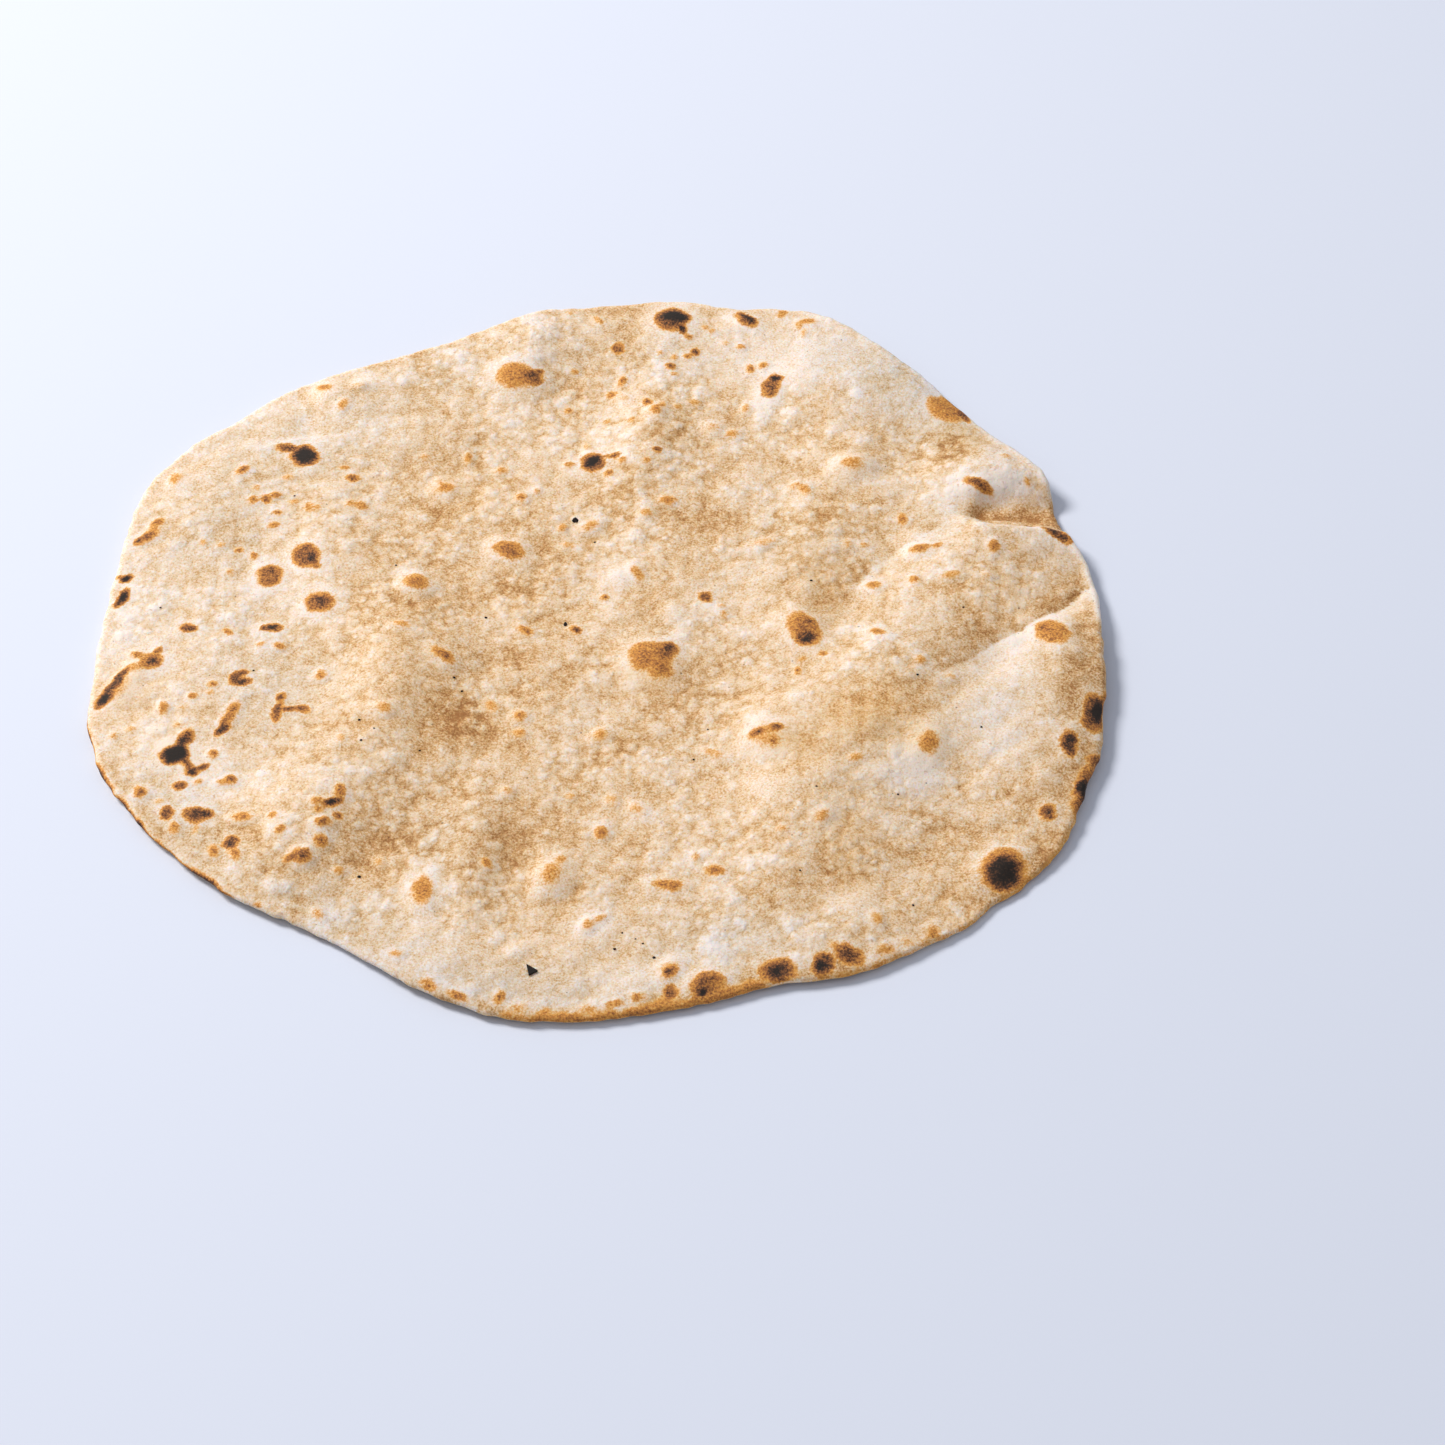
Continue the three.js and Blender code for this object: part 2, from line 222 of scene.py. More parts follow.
baking = {
    "markWander": (0.45, 2.1),  # mm that the outline of a mark wanders, and from one bend of it to the next
    "markFray": (0.16, 0.9),  # the same, finer
    "bubbles": [  # cell, seed, rise, paleness: three sizes over the whole skin
        (7.5, 41, 0.52, 0.4), (4.2, 42, 0.38, 0.45), (2.6, 45, 0.12, 0.4),
    ],
    "underMarks": 130,  # marks on the underside
    "underMarksReach": 100,  # how far out they lie
    "underMarkSizes": (2, 4),  # radius of the smallest, and how much more the largest has
    "marks": [  # x, y, length, width, turn of the length, burn from 0.2 pale gold to 1 black
        # upper left
        (-65, 75.4, 5.2, 3.6, -40, 0.44), (-60.2, 68.9, 3.6, 2.2, 70, 0.34), (-57, 76, 2.4, 2, 0, 0.18),
        (-67.6, 52.6, 7.2, 5.6, 100, 1), (-71.6, 55.3, 4.4, 2.3, -10, 0.68),
        (-80.8, 47.6, 3.1, 1.9, 60, 0.55), (-95.2, 44.8, 4.6, 2.6, 100, 0.38),
        (-70.7, 45.3, 1.9, 1.7, 0, 0.34), (-56.5, 45.9, 2.3, 2.1, 0, 0.66), (-58.5, 49.3, 1.4, 0.9, 0, 0.4),
        (-77.1, 41.7, 1.8, 1.2, 90, 0.3), (-72.5, 39.4, 1.8, 1.5, 0, 0.55),
        (-74.8, 38, 2.2, 1.6, 120, 0.68), (-77.7, 37.6, 2.6, 1.6, 90, 0.5),
        (-68.7, 37.4, 1.4, 1.2, 0, 0.34), (-56.5, 37.4, 2.2, 1.6, 90, 0.38),
        (-53.9, 36.8, 2.6, 2.2, 90, 0.5), (-65.3, 35.6, 2.6, 1.3, 100, 0.48),
        (-63.3, 35.2, 2.2, 1.2, 90, 0.34), (-72, 33.8, 1.8, 1.2, -20, 0.45),
        (-72.4, 30.1, 2.1, 1.4, 0, 0.42), (-36, 43.8, 5, 4.3, 0, 0.45), (-41, 53.3, 1.8, 1.2, 0, 0.24),
        (-31.6, 53.5, 3, 1.6, 90, 0.36), (-24.1, 50.2, 3, 2.1, 20, 0.36),
        (-19.6, 41.6, 2.6, 2.2, -40, 0.44), (-16.2, 43.8, 1.4, 1.2, 0, 0.3),
        # top
        (-22.4, 79.3, 9, 7.6, -10, 0.5), (-18.6, 79.2, 5.2, 4.2, 40, 0.74), (-17.2, 81.2, 2, 1.6, 30, 0.6),
        (0.2, 91.5, 3.8, 2.6, 90, 0.64), (-4.7, 101, 3.4, 1.5, -45, 0.36),
        (-11.1, 102.8, 1.6, 1.2, 0, 0.25), (12, 101.7, 8.4, 7.4, 80, 0.8),
        (12.7, 102.2, 6.8, 5.8, -35, 1.05), (14.5, 98.4, 2.6, 1.6, 100, 0.85),
        (28.9, 102.2, 5.6, 3, -40, 0.6), (29.3, 102.9, 5.2, 1.7, -42, 0.85),
        (37.1, 104.6, 2.5, 2.1, 80, 0.4), (43, 101.6, 3.6, 2.2, 5, 0.43), (40.9, 100.2, 2.2, 1.4, 90, 0.34),
        (42, 97.4, 2.6, 1.3, 80, 0.26), (16, 96.1, 1.5, 1.2, 0, 0.42), (19.7, 99.7, 1.5, 1.2, 0, 0.32),
        (21.2, 98.4, 1.4, 1.2, 0, 0.32), (24.3, 94.6, 1.6, 1.4, 0, 0.28), (27.9, 93.3, 1.7, 1.4, 0, 0.38),
        (17.5, 91.1, 2.1, 1.5, 90, 0.76), (15.9, 89.4, 1.8, 1.5, 0, 0.52), (12, 85.3, 2, 1.6, 0, 0.6),
        (13, 82.5, 1.7, 1.3, 0, 0.34), (12.9, 88.8, 1.7, 1, 90, 0.36), (9.6, 90, 1.6, 1, 90, 0.26),
        (29.9, 85.6, 3.2, 1.7, 90, 0.46), (32.8, 86.6, 2.6, 2.1, 45, 0.44), (34.6, 79, 7.4, 4.3, 76, 0.64),
        (35.6, 81.6, 2.8, 1.8, 0, 0.98), (-9.5, 83.5, 1.8, 1.4, 0, 0.34), (1.4, 80.3, 2.9, 1.9, 70, 0.48),
        (-0.8, 76.2, 2.1, 1.7, 0, 0.54), (1.5, 74.8, 4, 2.6, -50, 0.2), (7.1, 72, 2.6, 1.8, 110, 0.62),
        (9.2, 68.6, 4, 3.2, 90, 0.46), (10.6, 70.6, 2.4, 1.4, 90, 0.36), (17.6, 73.2, 2.3, 1.9, 0, 0.32),
        (14, 71.1, 1.4, 1.2, 0, 0.34), (29.2, 72, 2.4, 1.6, 70, 0.32), (-10.3, 70.7, 1.3, 1.1, 0, 0.48),
        (-1.6, 67, 1.2, 1, 0, 0.36), (3.9, 66.4, 1.3, 1, 90, 0.36), (22, 64.8, 3.6, 3, 120, 0.22),
        (26.4, 63.5, 2.8, 2.4, 45, 0.38), (-4.3, 53, 5.6, 5, 80, 0.86), (-4.1, 53.6, 4.2, 3.4, 90, 1.1),
        (-9.5, 52.4, 2.2, 1.6, 0, 0.42), (-0.6, 49.4, 2.1, 1.9, 0, 0.46), (-0.6, 54.7, 3, 0.9, 0, 0.44),
        (0.6, 54.8, 1.5, 1.2, 0, 0.6), (2.3, 53.1, 1.3, 1.2, 0, 0.44), (7.7, 52.9, 1.6, 1.2, 20, 0.36),
        (9.9, 56.1, 1.4, 1.2, 0, 0.62), (-5.6, 58.4, 2.2, 1.5, 120, 0.26),
        # upper right
        (73.9, 71.4, 9.6, 8.6, -45, 0.5), (77.2, 70.2, 5.4, 1.8, -58, 0.68), (52.8, 52.3, 6.2, 5, 0, 0.38),
        (40.6, 47, 3.2, 2.4, 30, 0.28), (42.4, 45.2, 3.8, 2.8, 110, 0.38), (86.5, 53.7, 2.2, 1.8, 0, 0.28),
        (80.2, 45.4, 6.4, 2.3, -24, 0.58), (91, 47, 2, 1.2, 110, 0.36), (63.6, 37, 3, 1.7, 100, 0.5),
        (67.2, 26.3, 3.9, 2.7, 0, 0.5), (70.8, 26.8, 2.6, 1.4, 20, 0.34), (83.1, 25.3, 3.4, 2.3, 90, 0.47),
        (51.6, 28.3, 2.8, 1.8, 80, 0.22), (55.5, 28.5, 1.8, 1.4, 0, 0.28), (57.2, 16, 3.2, 2.6, 0, 0.42),
        (65.9, 16.4, 2.5, 2, 90, 0.38), (74, 17.3, 3.6, 2, 10, 0.34), (81.5, 17.3, 2, 1.6, 0, 0.2),
        (42.5, 0.9, 10, 6.8, -68, 0.54), (42.9, -1.8, 4.6, 3.8, -20, 0.9), (43.2, 2.8, 2.8, 1.8, 20, 0.66),
        (57.9, -0.4, 4.2, 2.2, -18, 0.42), (94.9, 1.2, 9, 6.8, -62, 0.5), (93.2, 3, 3.8, 1.8, 40, 0.54),
        (97.4, 1.6, 3.2, 1.5, -60, 0.5), (94.6, -1.8, 2.4, 1.3, 0, 0.48), (97.2, 31.4, 7, 3.2, -38, 0.76),
        (46.4, -6, 1.6, 1.2, 0, 0.5), (41.9, -7.1, 1.6, 1.2, 0, 0.28), (41, -11, 2.4, 1.2, 90, 0.5),
        (66.9, -8.9, 2.4, 1.8, 90, 0.4), (73.4, -12.3, 2.6, 1.6, 0, 0.2), (21.3, 12.3, 3, 2.6, 90, 0.7),
        (24.7, 9.7, 1.2, 1, 0, 0.28), (25.1, 7.2, 2.2, 1.2, 90, 0.28), (33.5, 28.8, 5.2, 2.7, 20, 0.24),
        (12.5, 41.3, 3.9, 2.5, 10, 0.43), (7.9, 37.1, 2.8, 2.4, 0, 0.36), (-3.9, 33.3, 4.3, 2.4, 35, 0.34),
        (-10.1, 32.9, 2.2, 1.5, 80, 0.36), (-8.5, 27.7, 2.4, 1.5, -10, 0.27),
        # left
        (-99.5, 26.9, 5.6, 2.8, 42, 0.54), (-101.3, 25.8, 2.6, 1.8, 30, 0.6),
        (-97.8, 31.3, 2.8, 1.7, 25, 0.56), (-98.6, 29.4, 3.6, 1.9, 60, 0.4),
        (-102.9, 14.8, 2.6, 1.6, 55, 0.98), (-104.3, 15.1, 1.4, 1.2, 0, 0.45),
        (-103.3, 8.6, 5.2, 2, 72, 0.86), (-64.7, 20.4, 6.6, 5.6, 110, 0.7),
        (-63.5, 19.2, 5.4, 2.2, -58, 0.82), (-72.1, 15.2, 6, 5.4, 100, 0.64),
        (-60.6, 6.8, 6, 5.4, -20, 0.68), (-60.6, 7.3, 4, 2.6, -52, 0.8), (-40.4, 12.9, 5.4, 5, 0, 0.54),
        (-21.1, 24.6, 7.2, 5, -35, 0.58), (-76.1, 21.2, 1.8, 1.3, 110, 0.5), (-79.4, 23, 1.3, 1.1, 0, 0.48),
        (-83.2, 24.2, 1.3, 1.1, 0, 0.32), (-87.2, 24.9, 1.5, 1.1, 90, 0.28),
        (-80.7, 16.2, 1.9, 1.5, 0, 0.24), (-88.3, -0.2, 3.2, 2, -10, 0.78), (-70.7, 0, 4.2, 2.2, 0, 0.84),
        (-79.6, -1.3, 1.9, 0.9, -40, 0.56), (-72.3, -5.1, 1.3, 1, 0, 0.34),
        (-68.3, -5.5, 2.1, 1.4, -15, 0.46), (-42.8, -1.1, 3.7, 1.8, -18, 0.36),
        (-94.8, -10.4, 4.8, 4.4, 70, 0.62), (-94.7, -10.6, 3, 2.4, 0, 0.82),
        (-97.9, -8.5, 3.2, 2, -20, 0.44), (-94, -7.3, 2.4, 1.6, 60, 0.54),
        (-101.9, -17.4, 11.4, 2.5, 65, 0.76), (-103.5, -21.9, 5.2, 2.9, 62, 0.96),
        (-100.8, -19, 8.6, 4.2, 64, 0.25), (-97.9, -12.4, 4.6, 3.4, 30, 0.34),
        (-77.2, -15, 4, 1.9, 82, 0.74), (-75.4, -15.9, 3.4, 1.7, 10, 0.72),
        (-75.6, -13.3, 2, 1.4, 20, 0.62), (-58.8, -14.1, 2.9, 2.3, 90, 0.42),
        (-81.5, -16.9, 2, 1.6, 0, 0.44), (-81.6, -19.5, 1.2, 1, 0, 0.28), (-85.2, -20.5, 1.8, 1.6, 0, 0.46),
        (-91, -24.3, 3.8, 2, 96, 0.42), (-16.6, 0.8, 4.4, 2.4, -35, 0.43), (-6.3, 1.9, 2.4, 1.6, -30, 0.44),
        (-5.8, 1.5, 1.5, 1.2, 90, 0.8), (-33.4, -9, 5.4, 2.8, -45, 0.54), (6.4, 19, 4.4, 2.2, -62, 0.38),
        (-0.2, 11.7, 1.5, 1.3, 0, 0.46), (-87.3, -24, 1.4, 1, 0, 0.22),
        # middle and lower left
        (9.7, -6.9, 9, 8.8, -60, 0.52), (13.2, -5.4, 6.4, 5, 70, 0.62), (13.8, -3.7, 2.8, 2.3, 30, 0.86),
        (12, -9.9, 7, 5.6, -60, 0.56), (8.4, -9, 5.4, 4.2, -30, 0.46), (-66.9, -20.3, 2.3, 1.6, 90, 0.6),
        (-67.2, -25, 5.4, 2.1, 84, 0.68), (-64.4, -24, 5.2, 1.5, -4, 0.54), (-61.9, -24.1, 2.3, 2, 0, 0.64),
        (-76.8, -25.8, 7.4, 2.6, 72, 0.47), (-78.3, -29.9, 4.2, 2.2, 70, 0.78),
        (-44.8, -26.4, 3.7, 2.8, 0, 0.36), (-97, -30.5, 1.9, 1.4, 0, 0.26),
        (-100.5, -32.3, 2, 1.3, 80, 0.28), (-87.6, -29.2, 1.7, 1.2, 0, 0.26),
        (-87.5, -37.6, 6.2, 5.2, 20, 1.1), (-85.9, -33.6, 6, 2.8, 66, 0.78),
        (-85, -39.8, 3.6, 1.4, -50, 0.7), (-85.4, -31.6, 3, 2, 60, 0.5), (-79.4, -37.4, 2.2, 1.9, 90, 0.55),
        (-53.2, -34.4, 2, 1.4, 90, 0.26), (-83.3, -42.4, 2.4, 2, 0, 0.78),
        (-81.4, -41.1, 2.6, 1.4, 30, 0.7), (-84.6, -40.4, 2.8, 1.4, -50, 0.55),
        (-85.5, -46.3, 2.3, 1.8, 0, 0.76), (-81.7, -45.1, 1.7, 1.3, 60, 0.38),
        (-75.1, -44.5, 2.3, 1.9, 120, 0.6), (-76.9, -45.2, 2.1, 1.5, 0, 0.4),
        (-93.5, -48.3, 2.9, 2.4, 70, 0.6), (-89.3, -50.5, 1.5, 1.2, 0, 0.26),
        (-87.3, -53.7, 3.2, 2.5, 80, 0.7), (-81.6, -54.1, 4.6, 4, 0, 0.76),
        (-81.4, -53.9, 2.6, 2.4, 0, 0.84), (-79.2, -54.1, 2.2, 2, 90, 0.84),
        (-81.1, -58, 3.6, 1.2, 84, 0.24), (-85.6, -57.8, 3, 2.2, 100, 0.42),
        (-71.7, -55.6, 4.2, 2.2, -6, 0.44), (-65.6, -56, 1.5, 1.3, 0, 0.5),
        (-56.6, -52.6, 2.3, 2.1, 0, 0.48), (-56.4, -54.7, 1.6, 1.3, 0, 0.48),
        (-52.2, -49.4, 3.8, 2, 100, 0.52), (-53.5, -52.5, 3.6, 1.9, 25, 0.9),
        (-52.4, -55.6, 1.5, 1.3, 0, 0.62), (-55.1, -58.1, 3.1, 2.6, 20, 0.56),
        (-55.3, -62.6, 2.6, 2.4, 90, 0.54), (-63.5, -60.4, 2.6, 1.9, 60, 0.46),
        (-73.6, -62.4, 3.2, 2.7, 110, 0.81), (-72.5, -65.2, 4.2, 1.8, 110, 0.42),
        (-76.9, -64.2, 2.7, 1.9, 90, 0.5), (-58.6, -66.6, 3.6, 3.4, 60, 0.61),
        (-60.6, -67.3, 3.4, 1.8, 10, 0.54), (-51.1, -68.8, 2, 1.8, 0, 0.4),
        (-43.3, -65.7, 1.7, 1.5, 0, 0.26), (-54.6, -80.6, 3.3, 2.3, 100, 0.3),
        (-66.9, -78.7, 1.3, 1.2, 0, 0.4), (-38.2, -90.9, 2.8, 1.6, 0, 0.28),
        (-33.9, -74, 8.8, 5.2, 92, 0.48), (-21.3, -66.8, 2.8, 1.8, 115, 0.44),
        (-18.3, -46, 2.6, 2.1, 120, 0.28), (-22.7, -21.5, 3.4, 2.2, -60, 0.33),
        (-16.7, -24.3, 3, 2.8, 0, 0.42), (-16.6, -29.1, 2.7, 2.1, 0, 0.42),
        (0.3, -28.8, 3.4, 3.1, 45, 0.38),
        # lower right and bottom
        (34.6, -31.5, 6.8, 6.2, -30, 0.35), (32.8, -30.5, 3.2, 1.9, 20, 0.56),
        (36.4, -29.7, 2.8, 2, 0, 0.6), (36.3, -33.1, 3, 2.2, -50, 0.44), (23.8, -33.5, 4.7, 2.2, -25, 0.3),
        (53.2, -37.4, 2.8, 1.8, 20, 0.32), (68.2, -32.2, 7.2, 5.2, 84, 0.47),
        (97.5, -31.2, 6.6, 3.5, 90, 0.8), (97.4, -30.2, 3.6, 2.7, 90, 0.92),
        (102.8, -21.4, 10.4, 5.2, 82, 0.76), (103.7, -21, 8.2, 3.2, 82, 1.05),
        (92.7, -48.8, 4.4, 3, 84, 0.72), (83.2, -64.5, 11.2, 9.6, 70, 0.54), (83, -65.4, 9.4, 7.4, 60, 0.9),
        (79.4, -67.6, 2.4, 2, 0, 0.44), (46.3, -53.4, 4.2, 2.6, 50, 0.34), (38.3, -57, 2.6, 1.2, 0, 0.26),
        (57.5, -79.2, 3.1, 2.2, 100, 0.36), (68.6, -81.2, 4, 2.8, 70, 0.44), (66.6, -84.4, 3.6, 2, 60, 0.3),
        (59.1, -86.7, 4.6, 2.2, 24, 0.34), (63.4, -84.4, 2.8, 2.2, 20, 0.26),
        (51.6, -88.6, 5.2, 4.4, -25, 0.74), (51.9, -88.6, 3.4, 2.5, -30, 0.84),
        (49, -86.9, 2.4, 1.4, -40, 0.44), (46.4, -91.1, 4.8, 4, 70, 0.82), (46.1, -91, 3.4, 2.8, 80, 1.05),
        (37.4, -92.8, 7.2, 5.8, 0, 0.66), (37.2, -92.9, 5.2, 4.2, 0, 0.95),
        (24.6, -66.6, 4.1, 2.5, -14, 0.52), (20.7, -62.9, 2.2, 1.6, 90, 0.26),
        (14.9, -70.4, 6.2, 3, -8, 0.46), (16.5, -70.7, 2.8, 2.4, 0, 0.6), (-8.4, -69, 7.4, 5.2, 76, 0.36),
        (-6.7, -64.9, 2.6, 1.8, 70, 0.38), (-0.4, -81.7, 3, 2.5, 30, 0.32),
        (1.9, -79.9, 3.2, 1.3, 40, 0.28), (16.1, -93.7, 5.6, 4, 70, 0.46), (16, -94.2, 2.4, 1.8, 0, 0.74),
        (1.5, -56.5, 2.9, 2.1, 100, 0.52), (3.4, -47.3, 2.8, 2, 110, 0.28),
        (8.4, -49.6, 3.6, 2.6, 120, 0.28), (-5.4, -46.3, 1.8, 1.4, 0, 0.26),
        (16.4, -99, 3.2, 2.6, 80, 0.64), (23.6, -96.8, 7.2, 5.6, 30, 0.6),
        (23.2, -96.9, 4.2, 3.2, 30, 0.72), (22.8, -98.6, 1.6, 1.4, 0, 1), (-31.9, -98.2, 2.6, 2, 0, 0.36),
        (-17.2, -101.7, 3.2, 2, 80, 0.46), (-13.4, -103.6, 3.4, 1.8, 0, 0.28),
        (-31.2, -99, 3, 1.6, -30, 0.42), (-25.6, -101.2, 4.4, 1.6, -22, 0.42),
        (9.9, -100.6, 3.2, 2.4, 0, 0.42), (5.6, -102.2, 3.6, 1.8, 10, 0.4),
        (0.5, -103.6, 3.8, 1.8, 5, 0.32),
    ],
    "domes": [  # x, y, reach, rise: larger bubbles with a pale top
        (14.6, 7.6, 3.4, 0.6), (28.5, 21, 2.8, 0.35), (33.5, 17, 3.6, 0.35), (2.5, 18.5, 4.4, 0.5),
        (-13.2, -14, 1.2, 0.3), (-12, -18, 1.4, 0.3), (22.5, -22, 2.4, 0.3), (-24.5, 3, 2.2, 0.3),
        (35, -45, 5.5, 0.5), (26, -46, 2.6, 0.3), (53, -75, 5, 0.5), (62, -51.5, 2.2, 0.4),
        (47, -40, 2.8, 0.3), (67, -40, 4.5, 0.3), (81, -50, 2.4, 0.35), (-57, -3.4, 2.4, 0.4),
        (-71.5, -7, 2.8, 0.3), (-97.5, -20, 3.6, 0.4), (54.5, 14.6, 3, 0.35), (43.5, 14.5, 3, 0.35),
        (66.5, 29, 4.4, 0.45), (47, 27, 2.6, 0.35), (-60, 42, 3.2, 0.35), (-30, -52, 3, 0.35),
        (-55, -35, 3, 0.35), (-46, -72, 3.6, 0.35), (0.2, -80.8, 5.2, 0.55), (58, -40, 2.4, 0.3),
        (-38, 6, 2.6, 0.25), (8, 56, 2, 0.3), (-27, 16, 2, 0.25), (63, 47, 2.2, 0.3), (30, 52, 2.6, 0.25),
        (-33, 82, 2, 0.25), (-50, 86, 3, 0.3), (22, 66, 4, 0.4), (83, 55, 4.4, 0.4),
        (53.7, 75.6, 1.4, 0.35), (45, 56, 2.4, 0.25), (-52, 30, 2.4, 0.25), (8, -96, 4, 0.3),
    ],
    "smooth": [  # x, y, reach along, reach across, turn, strength: where the small bubbles show less
        (-88, 0, 60, 26, 90, 0.12), (-78, -48, 26, 16, 40, 0.3), (84, -22, 26, 16, 60, 0.5),
        (-78, 60, 24, 12, 40, 0.3), (-15, -94, 34, 10, 0, 0.4), (40, 92, 30, 10, -20, 0.4),
        (88, 40, 14, 5, 3, 0.7), (-57, 71, 12, 8, 0, 0.5),
    ],
    "edges": [  # from, to in degrees round the rim, how far in it reaches, burn
        # from 194 to 226 degrees: a thin dark line, partly burnt underside and partly painted contact shadow
        # under the rim
        (333, 342.5, 2.4, 0.66), (335.6, 338.6, 2.6, 1), (318, 334, 0.8, 0.34), (194, 226, 0.4, 1),
        (349, 352.5, 0.8, 0.5), (295, 318, 0.9, 0.32), (261, 276, 2.3, 0.4), (274, 290, 3, 0.44),
    ],
    "browningAndShade": [  # x, y, reach along, reach across, turn, strength: broad browning, minus where it is paler; partly painted shade in valleys and pockets that face away from the light, and where negative partly painted light on slopes that face it
        # small spots all over
        (52, -13, 7, 6, 60, -0.12), (43, -26, 7, 4, -20, -0.14), (64, -41, 7, 6, 0, -0.36),
        (46, -44, 6, 5, 0, -0.14), (84, 10, 5, 6, 0, -0.12), (60, 3, 8, 5, 0, -0.1),
        (58, -55, 12, 4, -20, -0.1), (74, -25, 6, 5, 0, -0.1), (91, 1, 4, 6, 0, 0.12),
        (99, -24, 3, 6, 0, 0.12), (99, -37, 3, 4, 0, 0.14), (94, -51, 3, 5, 20, 0.12),
        (86, -69, 5, 3, 50, 0.14), (9, -88, 5, 5, 0, 0.14), (-49, 84, 6, 3, -25, 0.2),
        (-102, -22, 6, 8, 90, 0.12), (-82, 66, 8, 4, 50, 0.06), (67, 83, 4, 4, -50, 0.06),
        (44, 60, 6, 8, 0, 0.08), (-85, 14, 7, 7, 0, 0.04), (-72, 31, 7, 5, 0, 0.04),
        (12, 58, 6, 8, 0, -0.06), (83, 44, 6, 3, 0, -0.2), (60, -60, 14, 8, 0, 0.04),
        (-15, 94, 3, 8, 0, -0.14), (-25, 81, 6, 4, 0, 0.1), (20, 78, 3, 5, 0, 0.1), (7, 5, 5, 6, 0, 0.1),
        (-38, -9, 3, 4, 0, -0.14), (-50, -45, 8, 4, 60, -0.1), (34, 46, 5, 5, 0, -0.1),
        (50, 25, 3, 5, 0, -0.12), (17, -32, 6, 5, 0, -0.1),
        # left and upper left
        (-28, -27, 3, 3, 0, 0.1), (-29, -27, 8, 7, 60, 0.42), (-17, 19, 12, 8, 60, 0.28),
        (-18, -6, 12, 9, 70, 0.16), (-42, 13, 12, 9, 80, 0.18), (-34, 44, 12, 8, 80, 0.2),
        (-43, 74, 9, 5, 80, 0.06), (-50, 61, 8, 7, 0, -0.14), (-20, 54, 8, 8, 0, -0.12),
        (-88, 4, 54, 24, 92, -0.19), (-80, 63, 18, 13, 50, -0.2), (-58, -17, 10, 8, 0, -0.14),
        (-44, 8, 12, 6, -45, 0.14), (-40, -20, 4, 12, 90, 0.1), (-60, 80, 10, 5, 30, -0.16),
        (-35, 70, 8, 6, 0, -0.12), (-27, 17, 4, 8, 0, -0.12), (-45, 34, 4, 4, 0, -0.1),
        (-54, 18, 4, 5, 0, -0.3), (-46, 1, 3, 6, 0, -0.16), (-10, 45, 5, 4, 0, -0.2),
        (-62, 47, 3, 3, 0, -0.1), (-58, 64, 14, 7, 0, -0.06), (-36, -14, 8, 4, 80, -0.1),
        (-103, -2, 44, 5, 90, -0.2), (-70, -48, 7, 5, 0, -0.14), (-66, -28, 10, 6, 90, -0.1),
        (-52, -20, 5, 4, 90, -0.12), (-70, 63, 8, 5, 0, -0.1), (-37, 9, 4, 5, 0, 0.14),
        (-30, -8, 5, 3, 0, 0.14), (-56, 25, 6, 4, 0, 0.1), (-40, -20, 4, 6, 0, -0.08),
        (-38, -22, 4, 6, 0, 0.12), (-37, -23, 4, 6, 0, -0.2), (-24, 0, 4, 4, 0, -0.12),
        (-27, 0, 3, 3, 0, -0.12), (-61, 75.5, 5, 2.5, -10, 0.22), (-53, 78, 7, 6, 20, -0.22),
        (-63, 66, 5, 5, 0, -0.12), (-50, 66, 5, 6, 0, -0.12), (-80, 20, 8, 7, 0, 0.08),
        (-59, -35, 9, 5, 90, 0.06), (-86, 40, 14, 8, 30, 0.11), (-57, 5, 4, 6, 0, 0.16),
        (-62, 24, 4, 5, 0, 0.08), (-64, 22, 5, 4, 0, 0.1), (-68, 50, 4, 4, 0, 0.12),
        (-68, 50, 5, 4, 0, 0.12), (-98, 27, 4, 4, 0, 0.12), (-97, 27, 5, 5, 0, 0.12),
        (-70, -28, 6, 6, 0, 0.06), (-93.5, 46.5, 2.5, 2, 30, 0.16),
        # top
        (-5, 52, 6, 5, 0, 0.1), (-5, 36, 5, 3, 0, 0.12), (18, 62, 5, 4, 0, 0.12), (-18, 80, 6, 4, 0, 0.08),
        (49, 88, 16, 9, -35, -0.18), (42, 78, 5, 6, 0, -0.14), (12, 84, 10, 4, 0, -0.1),
        (31, 42, 6, 6, 0, -0.14), (27, 43, 5, 5, 0, 0.1), (32, 63, 4, 6, 0, -0.12),
        (56, 82, 8, 5, -45, 0.12), (24, 86, 12, 7, 0, -0.08), (0, 92, 6, 6, 0, 0.26),
        (14, 66, 9, 8, 0, 0.22), (2, 64, 12, 5, 80, -0.08), (10, 38, 10, 6, 0, 0.2),
        (0, 47, 16, 7, 0, 0.08), (-18, 76, 9, 5, 0, 0.12), (38, 91, 22, 10, -16, -0.38),
        (15, 95, 6, 4, 0, -0.12), (-20, 99, 10, 5, 20, -0.14), (30, 75, 4, 7, 0, -0.12),
        (27, 54, 7, 7, 0, -0.18), (28, 32, 6, 8, 0, 0.1),
        # upper right: the darker patches near (74, 61), in the pocket of the upper fold and on the slope
        # behind its lip are painted shade, and the paler ones on its shoulder and crest are painted light
        (40, 60, 26, 16, 0, 0.06), (45, 36, 10, 8, 30, 0.24), (73, 60, 8, 6, -40, 0.22),
        (74, 61, 10, 7, -40, 0.12), (95, 45, 5, 4, 0, 0.12), (57, 72, 8, 6, 0, -0.16),
        (65, 68, 10, 5, -10, -0.2), (66, 31, 12, 8, 60, -0.1), (88, 39.8, 14, 4, 3, 0.2),
        (79.5, 40, 3, 2.5, 0, 0.26), (88, 37.5, 12, 3, 2, 0.12), (76.5, 43.5, 3, 4, -20, -0.2),
